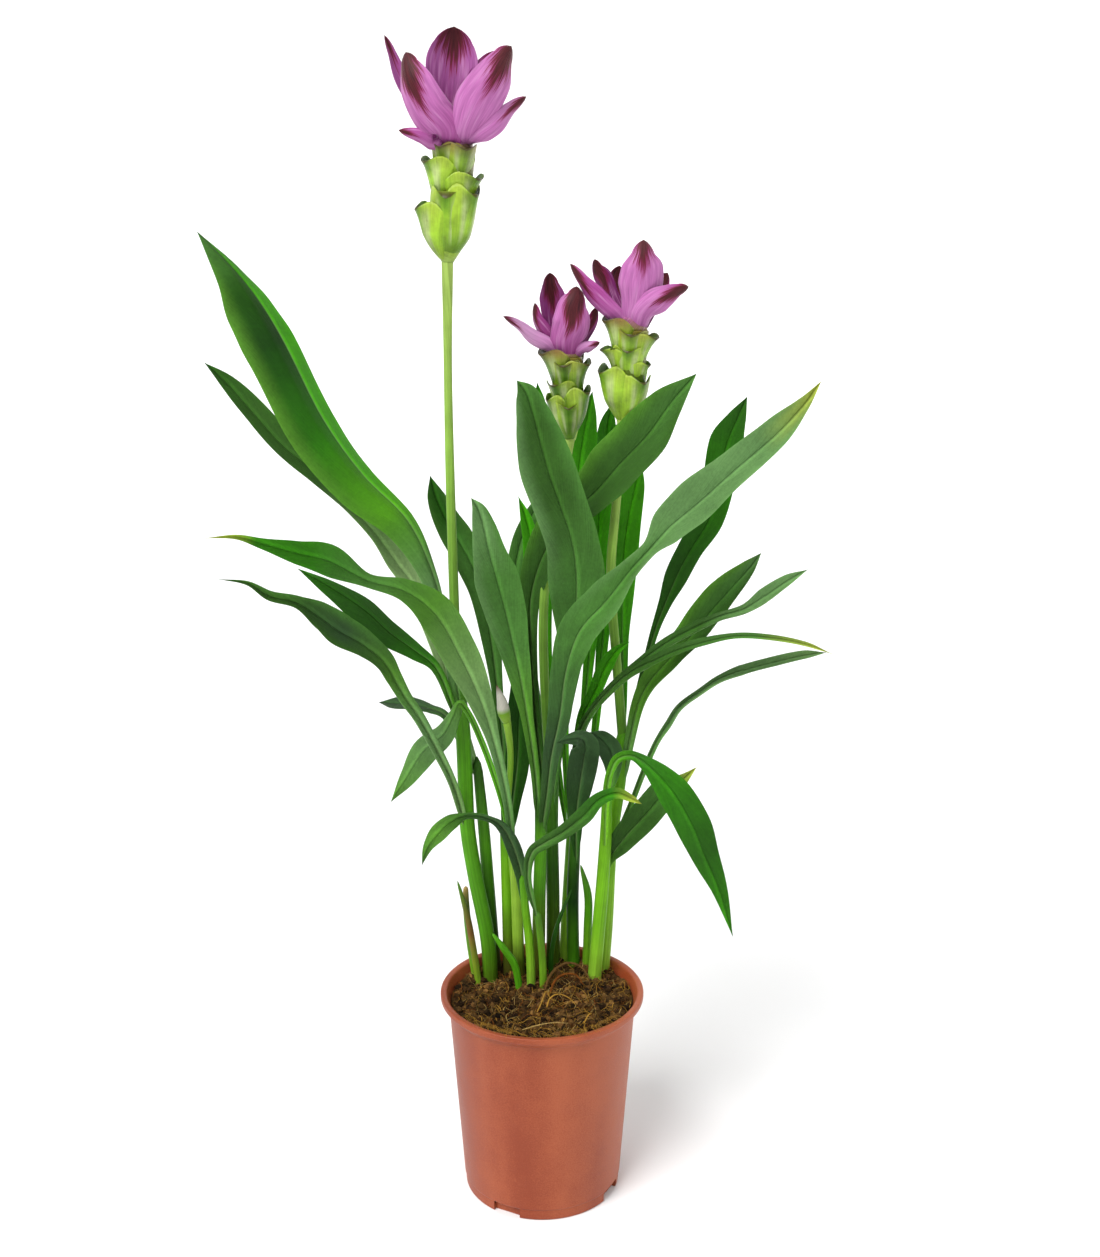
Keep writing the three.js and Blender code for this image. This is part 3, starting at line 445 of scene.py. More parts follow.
def cup_finish():
    """Waxy green bracts. The mark is how far a place lies towards the dark lip."""
    paint = Paint("green bract skin", Specular_IOR_Level=0.3)
    length, across, tint = paint.skin()
    mark = paint.attribute("mark")
    veins = paint.streaks(across * 0.8, length * 0.03, 3.0, 0.6)
    fine = paint.streaks(across * 2.6, length * 0.08)
    patches = paint.noise(paint.place(), 90.0, 4.0, 0.6)
    green = paint.shaded(tint, -0.42 + 0.8 * veins + 0.36 * fine + 1.64 * patches)
    stain = (paint.noise(paint.place(), 160.0) - 0.3 * fine).turn(0.5, 0.62)
    stained = paint.mix(stain * 0.3, green, linear(112, 110, 40))
    lip = (mark + 0.6 * (patches - 0.5)).turn(0.3, 0.8)
    colour = paint.mix(lip * 0.85, stained, linear(78, 60, 36))
    return paint.show(colour, 0.24 + 0.22 * patches, veins + 0.3 * fine + 1.5 * patches, 0.45)


def bud_finish():
    """Soft streaks along the bud and its stalk."""
    paint = Paint("bud skin", Specular_IOR_Level=0.3)
    length, across, tint = paint.skin()
    streaks = paint.streaks(across * 1.5, length * 0.05)
    return paint.show(paint.shaded(tint, 0.72 + 0.5 * streaks), 0.5, streaks, 0.2)


def pot_finish():
    """Moulded plastic: soft upright bands that are painted reflections of lamps, laid as random mottling,
    with fine grain and pale scuffs.
    """
    paint = Paint("terracotta plastic", Specular_IOR_Level=0.34)
    place = paint.place()
    upright = paint.node("Mapping", {}, {"Vector": place, "Scale": (1, 1, 0.14)})
    reflection_band = paint.noise(upright, 24.0, 2.0, 0.45)
    cloud = paint.noise(place, 55.0, 4.0, 0.6)
    grain = paint.noise(place, 1400.0, 3.0, 0.6)
    scuff = paint.noise(place, 230.0, 4.0, 0.7).turn(0.62, 0.8)
    # The colour follows mostly the painted reflection bands, and a little the mottling and the grain.
    tone = 0.75 * reflection_band + 0.25 * cloud + 0.5 * (grain - 0.5)
    warm = paint.mix(tone.turn(0.3, 0.68), linear(148, 74, 46), linear(184, 108, 76))
    colour = paint.mix(0.25 * scuff, warm, linear(208, 140, 106))
    return paint.show(colour, 0.3 + 0.16 * cloud + 0.14 * grain, grain + 0.8 * cloud, 0.1)


def soil_finish():
    """Matt lumps and specks of peat."""
    paint = Paint("potting soil", Specular_IOR_Level=0.12, Roughness=0.95)
    lumps = paint.noise(paint.place(), 200.0, 6.0, 0.75)
    specks = paint.noise(paint.place(), 800.0, 3.0, 0.6)
    tint = paint.attribute("tint", "Color")
    colour = paint.shaded(tint, -0.3 + 2.0 * lumps + 0.9 * specks)
    return paint.show(colour, None, lumps + 0.5 * specks, 1.8)


def floor_finish():
    return Paint("pale floor", Roughness=0.9, Specular_IOR_Level=0.05).show((0.93, 0.93, 0.93, 1.0))


# Colours of the plant and the soil, as they look on a screen. Some of them hold painted light:
# deep and night are dark greens that are partly painted shade inside the plant, shade is painted
# shade on stems, bright is painted light shining through thin leaves, and light is painted light
# on a leaf that lies in the shade of another.
SCREEN_TONES = dict(
    leek=(92, 138, 56), moss=(64, 100, 44), leaf=(84, 126, 64), grass=(54, 114, 22), deep=(44, 86, 24),
    night=(30, 66, 18), bright=(76, 152, 30), spring=(98, 164, 44), lime=(146, 192, 66),
    pale=(128, 162, 104), slate=(60, 86, 54), silver=(112, 148, 96), stem=(96, 156, 44),
    young=(130, 188, 52), fresh=(170, 210, 92), shade=(56, 98, 28), olive=(94, 116, 40),
    yellow=(186, 196, 92), straw=(206, 178, 122), brown=(122, 92, 56), umber=(86, 60, 40),
    cup_foot=(188, 220, 92), cup_belly=(170, 211, 74), cup_mouth=(82, 128, 28), cup_hood=(206, 226, 106),
    cup_pale=(232, 240, 194), cup_warm=(142, 92, 74), cup_shade=(76, 122, 24), cup_neck=(150, 140, 70),
    stalk_foot=(104, 152, 60), stalk=(156, 194, 98), stalk_top=(190, 216, 128), pink=(220, 146, 206),
    rose=(188, 100, 168), violet=(138, 56, 118), blush=(230, 180, 221), white=(250, 244, 232),
    light=(186, 214, 158), peat=(52, 36, 22), coir=(108, 84, 52), rust=(132, 84, 42), gold=(196, 156, 84),
)
TONES = {name: linear(*colour) for name, colour in SCREEN_TONES.items()}

# Dry roots and a curled dry sheath that lie on the soil: tone, radius and places
ROOTS = [
    ("coir", 0.8, [
        (2, 8, 130), (4, 12, 136), (9, 17, 141), (17, 21, 143), (25, 20, 141), (30, 15, 136), (31, 9, 131),
    ]),
    ("rust", 0.6, [(5, 4, 130), (8, 9, 136), (14, 13, 139), (22, 14, 138), (27, 9, 133)]),
    ("gold", 0.4, [(3, -14, 130), (5, -10, 134), (10, -8, 136), (17, -9, 134), (22, -12, 130)]),
    ("gold", 0.35, [(-3, -18, 129), (0, -12, 133), (2, -4, 135), (4, 2, 133)]),
    ("coir", 0.4, [(24, -22, 130), (27, -17, 133), (31, -13, 132), (34, -8, 130)]),
    ("straw", 0.3, [(-12, -44, 131), (-2, -40, 132), (8, -37, 132), (17, -36, 131)]),
    ("gold", 0.35, [(26, -38, 132), (29, -33, 135), (31, -29, 134), (31, -25, 131)]),
]


def named(words):
    """The tones that the words name."""
    return [TONES[word] for word in words.split()]


def lit(colour, light, filtered=(1, 1, 1)):
    return tuple(c * light * share for c, share in zip(colour, filtered))


def peak(x, middle, width):
    """1 at the middle, falling softly to 0 within about two widths."""
    return exp(-(((x - middle) / width) ** 2))


def half_thickness(thick, side):
    """How far a blade's surface lies from its middle, for side from -1, inner, to 1, outer."""
    return 0.5 * thick * copysign(abs(side) ** 0.6, side)


def square_to(way, direction):
    """The direction, turned square to the way."""
    return (direction - way * direction.dot(way)).normalized()


# Leaves, stems and flower heads
def leaf(bm, tones, stations, turn=(0, 0), fold=0.3, edge="", rib=0.0):
    """A folded blade on a thick petiole. Stations: its middle places and half widths. Tones run
    from foot to tip, edge names those of its two sides, and rib is where the midrib lies across."""
    path = Path(stations)
    colours, sides = named(tones), named(edge)
    halves = [s[3] for s in stations]
    widest = halves.index(max(halves))
    flat = 1 / sqrt(1 + fold * fold)
    rows = LEAF_ROWS * path.last
    frames = []
    for t, centre, way, run in path.steps(rows):
        face = square_to(way, FRONT)
        face.rotate(Matrix.Rotation(radians(along(turn, t)), 3, way))
        half = max(steady(halves, t), THINNEST)
        slim = clamp((9 - half) / 6) if t * path.last < widest else 0
        foot = lerp(0.3, 1, smooth(0, 0.6, t * path.last))
        thick = lerp(BLADE_THICK, PETIOLE_THICK, slim) * clamp(half / 1.5) * foot
        frames.append((t, centre, way.cross(face), face, half * foot, slim, thick, run))

    def place(row, a):
        t, centre, side, face, half, slim, thick, run = frames[row]
        s = cos(a)
        upper = sin(a)
        x = s * half
        across = x - rib * half
        waviness = clamp((half - 4) / 10)
        phase = 0.6 if s > 0 else 2.1
        wave = sin(1.9 * t * path.last + phase) * s * s * waviness
        ripple = 0.35 * sin(5.3 * t * path.last + 2 * phase) * abs(s) ** 5 * waviness
        lift = abs(s) ** 1.15 * half * flat * fold + wave + ripple
        if upper > 0:
            groove = lerp(0.45, 0.9, slim) * peak(across, 0, 0.8) * clamp(half / 4)
        else:
            groove = 0.5 * (1 - slim) * peak(across, 0, 1.1) * clamp(half / 4)
        where = centre + side * x * flat + face * (lift + (half_thickness(thick, upper) - groove))
        colour = along(colours, t)
        if sides:
            share = smooth(0.35, 1, abs(s)) if rib == 0 or s < rib else 1.0
            share *= smooth(0.3, 0.6, t) * smooth(1.0, 0.84, t)
            colour = mixed(colour, sides[0] if s < rib else sides[1], share)
        # Painted light and shade: the half beyond the midrib is made lighter and the other half darker, as
        # light falls on a folded blade. The very edges are a little lighter.
        colour = lit(colour, (1.06 if s > rib else 0.95) + 0.3 * abs(s) ** 10)
        if upper < 0:
            colour = mixed(colour, TONES["pale"], 0.3)
        mark = smooth(0.6, 0.1, t) if rib == 0 else smooth(0.92, 0.7, t)
        return where, colour, (run, across), mark

    skin(bm, rows, EDGED_LEAF_SIDES if sides else LEAF_SIDES, place)


def stem(bm, tones, radii, path, blunt=True, rows_apart=10, finish=1):
    """A round stem. The radii and colours run from its foot to its top."""
    line = Path(path)
    colours = named(tones)
    rows = rows_apart * line.last
    frames = []
    for t, centre, way, run in line.steps(rows):
        over = square_to(way, RIGHT)
        radius = steady(radii, t)
        if blunt and t > 0.94:
            radius *= sqrt(max(1 - ((t - 0.94) / 0.062) ** 2, 0.01))
        frames.append((along(colours, t), centre, over, way.cross(over), radius, run))

    def place(row, a):
        colour, centre, over, other, radius, run = frames[row]
        r = radius * (1 + 0.025 * sin(3 * a + 1.7) + 0.015 * sin(7 * a))
        where = centre + over * r * cos(a) + other * r * sin(a)
        return where, colour, (run, radius * a), -1.0

    skin(bm, rows, STEM_SIDES, place, finish)


def head_frame(foot, axis):
    """A flower head's foot, and its directions up, to the right and to the back."""
    up = Vector(axis).normalized()
    right = square_to(up, RIGHT)
    return Vector(foot), up, right, up.cross(right)


def head_point(head, height, radius=0, azimuth=0):
    foot, up, right, back = head
    a = radians(azimuth)
    return foot + up * height + right * radius * cos(a) + back * radius * sin(a)


def blunt_tip(halves, t):
    """The half width at t, with a rounded end in place of the last straight taper."""
    last = len(halves) - 1
    half = steady(halves, t)
    w = clamp(t * last - (last - 1))
    return max(half, 0.92 * halves[-2] * (1 - w**1.9) ** 0.72) if w else half


def bract(bm, head, dark, tones, stations):
    """A petal-like bract, hollow towards the axis. dark: where along it the brown tip starts."""
    foot, up = head[:2]
    path = Path(stations)
    colours = named(tones)
    halves = [s[3] for s in stations]
    behind = copysign(1, stations[2][1] - foot.y)
    rows = BRACT_ROWS * path.last
    frames = []
    for t, centre, way, run in path.steps(rows):
        face = square_to(up, centre - foot)
        face.y += BRACT_LEAN * behind
        face = square_to(way, face)
        half = max(blunt_tip(halves, t), THINNEST)
        thick = lerp(1.5, 0.7, t) * clamp(half / 2)
        frames.append((t, centre, way.cross(face), face, half, thick, run))
    whole = frames[-1][-1]

    def place(row, a):
        t, centre, side, face, half, thick, run = frames[row]
        s = cos(a)
        outer = sin(a)
        lift = BRACT_HOLLOW * half * (0.35 - s * s)
        lift += 0.35 * sin(9 * t + 3 * s) * s * s * clamp(half / 6)
        lift += half_thickness(thick, outer)
        colour = along(colours, t)
        if outer < 0:
            colour = lit(colour, 1, BRACT_INSIDE)
        mark = run / whole - dark - 1.1 * (1 - dark) * s * s + 0.15 * peak(s, -0.08, 0.2)
        return centre + side * s * half + face * lift, colour, (run, s * max(halves)), mark

    skin(bm, rows, BRACT_SIDES, place)


def cup(bm, head, column, length, painted_shade, azimuth, lip, reach, deep):
    """A pouch-like green bract: its sides grown into the column, its lip flared to a point."""
    full = clamp((deep - 14) / 14)
    late = smooth(length - 9, length, lip)
    foot, belly, mouth_shade, hooded, pale, warm, shade = named(CUP_TONES)

    def place(row, a):
        u = row / CUP_ROWS
        s = cos(a)
        outer = sin(a)
        hood = sin(pi * s) ** 2
        h = lip + deep * (u * (1 - 0.2 * s**4) + 0.2 * u**3 * hood - 1) + TOP_LIP_RISE * late * u**2
        wide = 0.84 * along(column, h / COLUMN_RISE)
        body = lerp(u**1.5, 1 - (1 - u) ** 1.8, full) * max(1 - s * s, 0) ** 0.55
        beak = u**5 * peak(s, 0, 0.34)
        r = wide + (reach - wide) * (0.7 * body + 0.3 * beak)
        r += 0.3 * sin(9 * s + azimuth) * u * (1 - s * s)
        r += half_thickness(lerp(1.5, 0.7, u), outer)
        colour = mixed(foot, belly, smooth(0, 0.5, u))
        # Painted shade darkens the foot of each higher cup just above the lip of the cup below it, and the
        # whole head by its given share, less on the hoods.
        low = 0.75 * smooth(26, 40, lip) * smooth(0.5, 0.15, u)
        colour = mixed(colour, shade, max(low, painted_shade * (1 - 0.7 * hood * u)))
        # Painted shade in the mouth: dark green in the middle of the cup towards its lip.
        colour = mixed(colour, mouth_shade, 0.85 * peak(s, 0, 0.4) * smooth(0.55, 0.95, u))
        colour = mixed(colour, hooded, 0.8 * hood * u * u)
        colour = mixed(colour, warm, late * (0.35 + 0.5 * hood) * smooth(0.6, 1, u))
        # Painted highlights: two pale upright streaks on the belly.
        highlight_streak = peak(s, 0.32, 0.1) + 0.8 * peak(s, -0.24, 0.07)
        colour = mixed(colour, pale, 0.8 * highlight_streak * smooth(0.1, 0.4, u) * smooth(1, 0.7, u))
        # Painted shade on the inner face, darker towards the cup's foot.
        if outer < 0:
            colour = lit(colour, lerp(0.5, 1, u), CUP_INSIDE_SHADE)
        mark = 1 - (1 - u) * deep / 2.4 - 1.7 * abs(s) * (1 - 0.5 * late)
        where = head_point(head, h, r, azimuth + s * lerp(58, 78, u))
        return where, colour, (deep * u, s * reach), mark

    skin(bm, CUP_ROWS, CUP_SIDES, place)


def bloom(name, stalk, radii, head, axis, length, column, painted_shade, cups, bracts):
    """A flower head on its stalk: the column of green bracts, and the crown of pink ones on it."""
    spike = head_frame(head, axis)
    rises = [COLUMN_RISE * k / (len(column) - 1) for k in range(1, len(column))]
    core = [head] + [head_point(spike, h) for h in (*rises, length - 2, length + 1)]
    bm = new_mesh()
    stem(bm, "stalk_foot stalk stalk_top", radii, stalk, False, 12)
    stem(bm, CORE_TONES, column + 2 * column[-1:], core, True, 8, 0)
    for one in cups:
        cup(bm, spike, column, length, painted_shade, *one)
    skins = [CUP_SKIN, STEM_SKIN]
    finished(f"{name}_flower_stalk_and_green_bracts", bm, skins, f"bloom_{name}_spike")
    crown = head_frame(head_point(spike, length + 0.3), axis)
    plug = [crown[0], head_point(crown, PLUG_RISE)]
    bm = new_mesh()
    stem(bm, "cup_neck rose", [column[-1] - 0.8, column[-1] - 2.2], plug, True, 6, 0)
    for dark, tones, *stations in bracts:
        bract(bm, crown, dark, tones, stations)
    finished(f"{name}_flower_pink_bracts", bm, [PETAL_SKIN], f"bloom_{name}_bracts")


def shoot(name, bm, kind="with_its_leaves"):
    finished(f"{name}_{kind}", bm, [LEAF_SKIN, STEM_SKIN], name)


# Pot and soil
def inner_radius(z):
    """Radius of the pot's inner wall at the height z."""
    low, neck = FOOT_RADIUS + BASE_STEP - WALL, NECK_RADIUS - WALL
    flare = (z - NECK_HEIGHT) / (POT_HEIGHT - RIM_DROP - NECK_HEIGHT)
    if flare > 0:
        return lerp(neck, RIM_RADIUS - RIM_TOP_WIDTH, flare)
    return lerp(low, neck, (z - BASE_STEP_HEIGHT) / (NECK_HEIGHT - BASE_STEP_HEIGHT))


def rounded(corners, steps=4):
    """The profile with each corner (radius, height, rounding) drawn as a short curve."""
    line = []
    for k, (r, z, rounding) in enumerate(corners):
        here = Vector((r, z))
        if rounding == 0:
            line.append(here)
            continue
        before = Vector(corners[k - 1][:2]) - here
        after = Vector(corners[k + 1][:2]) - here
        a = here + before.normalized() * min(rounding, before.length * 0.45)
        b = here + after.normalized() * min(rounding, after.length * 0.45)
        for t in (i / steps for i in range(steps + 1)):
            line.append(a * (1 - t) ** 2 + here * 2 * t * (1 - t) + b * t * t)
    return line


def pot():
    """Turned wall and floor, with foot notches and drain holes cut out."""
    floor_top = FLOOR_LIFT + WALL
    corners = [
        (0, 0, 0),
        (CENTRE_PAD_RADIUS, 0, 0.8),
        (CENTRE_PAD_RADIUS + 2, FLOOR_LIFT, 0.8),
        (FOOT_RING_INNER, FLOOR_LIFT, 0.6),
        (FOOT_RING_INNER + 1, 0, 0.6),
        (FOOT_RADIUS, 0, 1.4),
        (FOOT_RADIUS, BASE_STEP_HEIGHT - 1, 0.4),
        (FOOT_RADIUS + BASE_STEP, BASE_STEP_HEIGHT, 0.4),
        (NECK_RADIUS, NECK_HEIGHT, 1.2),
        (RIM_RADIUS, POT_HEIGHT - RIM_BAND_HEIGHT, 1.2),
        (RIM_RADIUS, POT_HEIGHT, 1.1),
        (RIM_RADIUS - RIM_TOP_WIDTH, POT_HEIGHT - RIM_DROP, 1.2),
        (inner_radius(NECK_HEIGHT), NECK_HEIGHT, 2),
        (inner_radius(BASE_STEP_HEIGHT), BASE_STEP_HEIGHT, 0.6),
        (FOOT_RADIUS - WALL, floor_top, 0.6),
        (0, floor_top, 0),
    ]
    bm = bmesh.new()
    turned(bm, rounded(corners), POT_STEPS)
    piece = finished("nursery_pot", bm, [POT_PLASTIC], "pot")
    knives = bmesh.new()
    for k in range(NOTCHES):
        turn = Matrix.Rotation(radians(NOTCH_ANGLE + 360 / NOTCHES * k), 4, "Z")
        size = Matrix.Diagonal((8, NOTCH_WIDTH, NOTCH_HEIGHT + 5, 1))
        middle = Matrix.Translation((FOOT_RADIUS, 0, NOTCH_HEIGHT / 2 - 2.5))
        made = bmesh.ops.create_cube(knives, size=1, matrix=turn @ middle @ size)["verts"]
        edges = {edge for vert in made for edge in vert.link_edges}
        upright = [e for e in edges if abs(e.verts[0].co.z - e.verts[1].co.z) < 1]
        rounding = dict(offset=NOTCH_ROUNDING, segments=3, profile=0.5, affect="EDGES", material=-1)
        bmesh.ops.bevel(knives, geom=upright, **rounding)
    for k in range(DRAIN_HOLES):
        a = radians(DRAIN_ANGLE + 360 / DRAIN_HOLES * k)
        middle = Matrix.Translation((DRAIN_CIRCLE * cos(a), DRAIN_CIRCLE * sin(a), 3))
        size = dict(radius1=DRAIN_RADIUS, radius2=DRAIN_RADIUS, depth=12)
        bmesh.ops.create_cone(knives, cap_ends=True, segments=32, matrix=middle, **size)
    cutter = in_scene("pot cutters", mesh_from("pot cutters", knives))
    cut = piece.modifiers.new("notches and holes", "BOOLEAN")
    cut.operation = "DIFFERENCE"
    cut.solver = "EXACT"
    cut.object = cutter
    bpy.context.view_layer.update()
    whole = piece.evaluated_get(bpy.context.evaluated_depsgraph_get())
    cut_mesh = bpy.data.meshes.new_from_object(whole)
    piece.modifiers.clear()
    piece.data = cut_mesh
    bpy.data.objects.remove(cutter)
    for polygon in cut_mesh.polygons:
        polygon.use_smooth = True
    cut_mesh.set_sharp_from_angle(angle=radians(SHARP_ANGLE))


def mound(x, y, middle, width):
    """1 at the middle, falling softly to 0 all round."""
    return exp(-((x - middle[0]) ** 2 + (y - middle[1]) ** 2) / width)


def soil_surface(x, y):
    """Height of the soil: a bank at the wall, a heap round the stems, a hollow at the left front."""
    heap = 5 * mound(x, y, HEAP, 900)
    hollow = 5 * mound(x, y, HOLLOW, 320)
    lumps = 1.1 * sin(0.31 * x + 0.17 * y) * cos(0.23 * y - 0.11 * x)
    lumps += 0.6 * sin(0.61 * x - 0.5 * y)
    bank = SOIL_BANK * clamp((hypot(x, y) - 38) / 20) ** 2
    rough = 1.6 * noise.noise(Vector((x, y, 6)) / 9)
    rough += 1.6 * noise.fractal(Vector((x, y, 3)) / 5.0, 0.9, 2.1, 4)
    rough += 0.5 * noise.noise(Vector((x, y, 9)) / 1.1)
    return SOIL_LEVEL + bank + heap - hollow + lumps + rough


def soil_colour(x, y, light=1.0):
    dry = clamp(0.4 + 0.9 * noise.noise(Vector((x, y, 0)) / 8))
    # Darker in the hollow at the left front: painted shade in the pit.
    return lit(mixed(TONES["peat"], TONES["coir"], dry), light * (1 - 0.6 * mound(x, y, HOLLOW, 260)))


def soil():
    bm = new_mesh()
    tint = bm.verts.layers.float_color["tint"]
    brim = SOIL_LEVEL + SOIL_BANK - 0.5
    edge = inner_radius(brim) - SOIL_GAP
    cells = dict(x_segments=SOIL_CELLS, y_segments=SOIL_CELLS, size=1)
    for vert in bmesh.ops.create_grid(bm, **cells)["verts"]:
        a, b = vert.co.x, vert.co.y
        x = edge * a * sqrt(1 - b * b / 2)
        y = edge * b * sqrt(1 - a * a / 2)
        level = smooth(edge, edge - 4, hypot(x, y))
        vert.co = (x, y, lerp(brim, soil_surface(x, y), level))
        vert[tint] = (*soil_colour(x, y), 1)
    ring = [e for e in bm.edges if e.is_boundary]
    radius = edge
    for z in (NECK_HEIGHT, BASE_STEP_HEIGHT + 0.3):
        wall = bmesh.ops.extrude_edge_only(bm, edges=ring)["geom"]
        narrower = (inner_radius(z) - SOIL_GAP) / radius
        radius *= narrower
        for vert in wall:
            if isinstance(vert, bmesh.types.BMVert):
                vert.co = (vert.co.x * narrower, vert.co.y * narrower, z)
        ring = [g for g in wall if isinstance(g, bmesh.types.BMEdge) and g.is_boundary]
    bmesh.ops.holes_fill(bm, edges=ring, sides=0)
    for face in bm.faces:
        face.smooth = True
    crumbs(bm, edge)
    finished("potting_soil", bm, [SOIL], "soil")
    bm = new_mesh()
    fibres(bm, edge)
    piece = finished("coir_fibres", bm, [SOIL])


def in_batches(bm, count, add):
    """Runs add(small) count times on small meshes, and puts each into the large one."""
    for first in range(0, count, BATCH):
        small = new_mesh()
        for _ in range(min(BATCH, count - first)):
            add(small)
        bundle = bpy.data.meshes.new("bundle")
        small.to_mesh(bundle)
        small.free()
        bm.from_mesh(bundle)
        bpy.data.meshes.remove(bundle)


def scattered(dice, reach):
    """A place on the soil, anywhere within the reach from the middle."""
    r = reach * sqrt(dice.random())
    a = dice.uniform(0, 2 * pi)
    return r * cos(a), r * sin(a)


def crumbs(bm, edge):
    """Loose lumps of peat, half sunk into the surface."""
    dice = random.Random(7)
    noise.seed_set(7)

    def crumb(small):
        tint = small.verts.layers.float_color["tint"]
        x, y = scattered(dice, edge - 2.5)
        size = dice.choice((0.4, 0.5, 0.7, 0.9, 1.2, 1.6, 2.4))
        spin = Matrix.Rotation(dice.uniform(0, 6.28), 4, (dice.random(), dice.random(), 1))
        spin = spin @ Matrix.Diagonal((size * dice.uniform(0.7, 1.5), size, size * 0.75, 1))
        middle = Matrix.Translation((x, y, soil_surface(x, y) + 0.25 * size))
        ball = dict(subdivisions=1, radius=1, matrix=middle @ spin)
        colour = soil_colour(x, y, dice.choice((0.3, 0.6, 1.0, 1.6, 3.0)))
        for vert in bmesh.ops.create_icosphere(small, **ball)["verts"]:
            vert.co += noise.noise_vector(vert.co * 0.9) * 0.3 * size
            vert[tint] = (*colour, 1)

    in_batches(bm, CRUMBS, crumb)


def fibre(bm, line, width, colour, rows=8):
    """A thin flattened strand along the line, a function of 0 to 1 that gives places."""

    def place(row, a):
        u = row / rows
        way = (line(u + 0.02) - line(u - 0.02)).normalized()
        over = way.cross(Vector((0, 0, 1)))
        over = over.normalized() if over.length > 1e-3 else RIGHT
        thin = width * (1 - 0.6 * u)
        flat = way.cross(over) * thin * 0.6
        return line(u) + over * thin * cos(a) + flat * sin(a), colour, (0, 0), 0

    skin(bm, rows, 4, place)


def fibres(bm, edge):
    """Coir strands: most lie on the soil, some curl up from it, a few hang over the rim."""
    dice = random.Random(11)
    brim = SOIL_LEVEL + SOIL_BANK

    def strand(small):
        x, y = scattered(dice, edge - 4)
        heading = dice.uniform(0, 2 * pi)
        length = dice.choice((5, 8, 12, 17, 26))
        bend = dice.uniform(-2.2, 2.2)
        rise = dice.choice((0.4, 0.8, 1.6, 3.5))
        tone = dice.choice(("straw", "gold", "gold", "coir", "rust"))
        colour = lit(TONES[tone], dice.uniform(0.45, 1.25))

        def line(u):
            turn = heading + bend * u
            px = x + length * (u - 0.5) * cos(turn)
            py = y + length * (u - 0.5) * sin(turn)
            inwards = min((edge - 1) / max(hypot(px, py), 1e-6), 1)
            px, py = px * inwards, py * inwards
            lift = 0.1 + rise * sin(pi * clamp(u))
            return Vector((px, py, soil_surface(px, py) + lift))

        fibre(small, line, dice.uniform(0.12, 0.3), colour)

    def over_the_rim(small):
        a = radians(dice.uniform(225, 320))
        side = dice.uniform(-0.16, 0.16)
        lift = dice.uniform(0.3, 2.2)
        hang = dice.uniform(-2, 2.5)
        end = dice.uniform(0.55, 1)
        colour = lit(TONES["gold"], dice.uniform(0.6, 1.2))

        def line(u):
            out = lerp(edge - 8, RIM_RADIUS + 1.2, u * end)
            rise = lerp(brim, POT_HEIGHT, smooth(0.1, 0.62, u * end))
            z = rise + 1 + lift * sin(pi * clamp(u)) - hang * max(u * end - 0.7, 0) * 3
            turn = a + side * u + 0.05 * sin(5 * u + lift)
            return Vector((out * cos(turn), out * sin(turn), z))

        fibre(small, line, dice.uniform(0.12, 0.26), colour, 12)

    in_batches(bm, FIBRES, strand)
    in_batches(bm, RIM_FIBRES, over_the_rim)
    for tone, thick, path in ROOTS:
        stem(bm, f"{tone} {tone}", [thick, thick * 1.2, thick * 0.9, thick * 0.4], path, True, 8, 0)


def studio():
    """A pale floor that turns up softly far round the plant, a wide soft sun and a white sky."""
    bm = bmesh.new()
    turned(bm, FLOOR_PROFILE, FLOOR_STEPS)
    finished("floor", bm, [floor_finish()])
    world = bpy.data.worlds.new("soft white studio")
    world.use_nodes = True
    sky = world.node_tree.nodes["Background"].inputs
    sky["Color"].default_value = (1, 1, 1, 1)
    sky["Strength"].default_value = SKY_STRENGTH
    bpy.context.scene.world = world
    light = bpy.data.lights.new("soft sun", "SUN")
    light.energy = SUN_STRENGTH
    light.angle = SUN_WIDTH
    sun = in_scene("soft sun", light)
    sun.rotation_euler = Vector(SUN_PLACE).to_track_quat("Z", "Y").to_euler()
    bpy.context.scene.view_settings.view_transform = "Standard"


def camera():
    lens = bpy.data.cameras.new("camera")
    lens.sensor_width = SENSOR_MM
    lens.lens = FOCAL_PX * SENSOR_MM / PHOTO_HEIGHT_PX
    lens.clip_end = 50
    piece = in_scene("camera", lens)
    piece.location = [c * MM for c in CAMERA_PLACE]
    piece.rotation_euler = (radians(90 - CAMERA_PITCH), 0, 0)
    bpy.context.scene.camera = piece


LEAF_SKIN = leaf_finish()
STEM_SKIN = stem_finish()
PETAL_SKIN = petal_finish()
CUP_SKIN = cup_finish()
BUD_SKIN = bud_finish()
POT_PLASTIC = pot_finish()
SOIL = soil_finish()

pot()
soil()

# Shoots: a stem that stands in the soil, its radii from foot to top, and the leaves that grow
# from it. A leaf's stations are places of its middle with the half width there.
bm = new_mesh()
stem(bm, "olive stem stem stem stem leek", [5, 4.9, 4.9, 4.9, 4.9, 4.9, 5], [
    (-34, 31, 118), (-36, 31, 155), (-44, 30, 203), (-48, 29, 234), (-49, 29, 265), (-50, 28, 299),
    (-54, 28, 338),
])
leaf(bm, "stem silver silver stem grass night deep leaf", [
    (-50, 27, 300, 3.5), (-54, 21, 330, 3.5), (-58, 18, 362, 3.5), (-68, 15, 405, 6.5),
    (-83, 11, 437, 11.5), (-109, 8, 464, 16), (-132, 6, 497, 18.5), (-153, 7, 541, 18.5),
    (-164, 8.5, 562, 17), (-177, 10, 583, 10.5), (-197, 14, 607, 0),
], turn=(20, 33), fold=-0.45, edge="leek bright", rib=0.42)
leaf(bm, "leek grass deep deep grass", [
    (-50, 27, 298, 2.5), (-65, 16, 346, 3.5), (-77, 11, 358, 6), (-92, 6, 371, 9), (-106, 2, 386, 10),
    (-126, -1, 401, 6), (-145, -3, 413, 0),
], turn=(-20, -30))
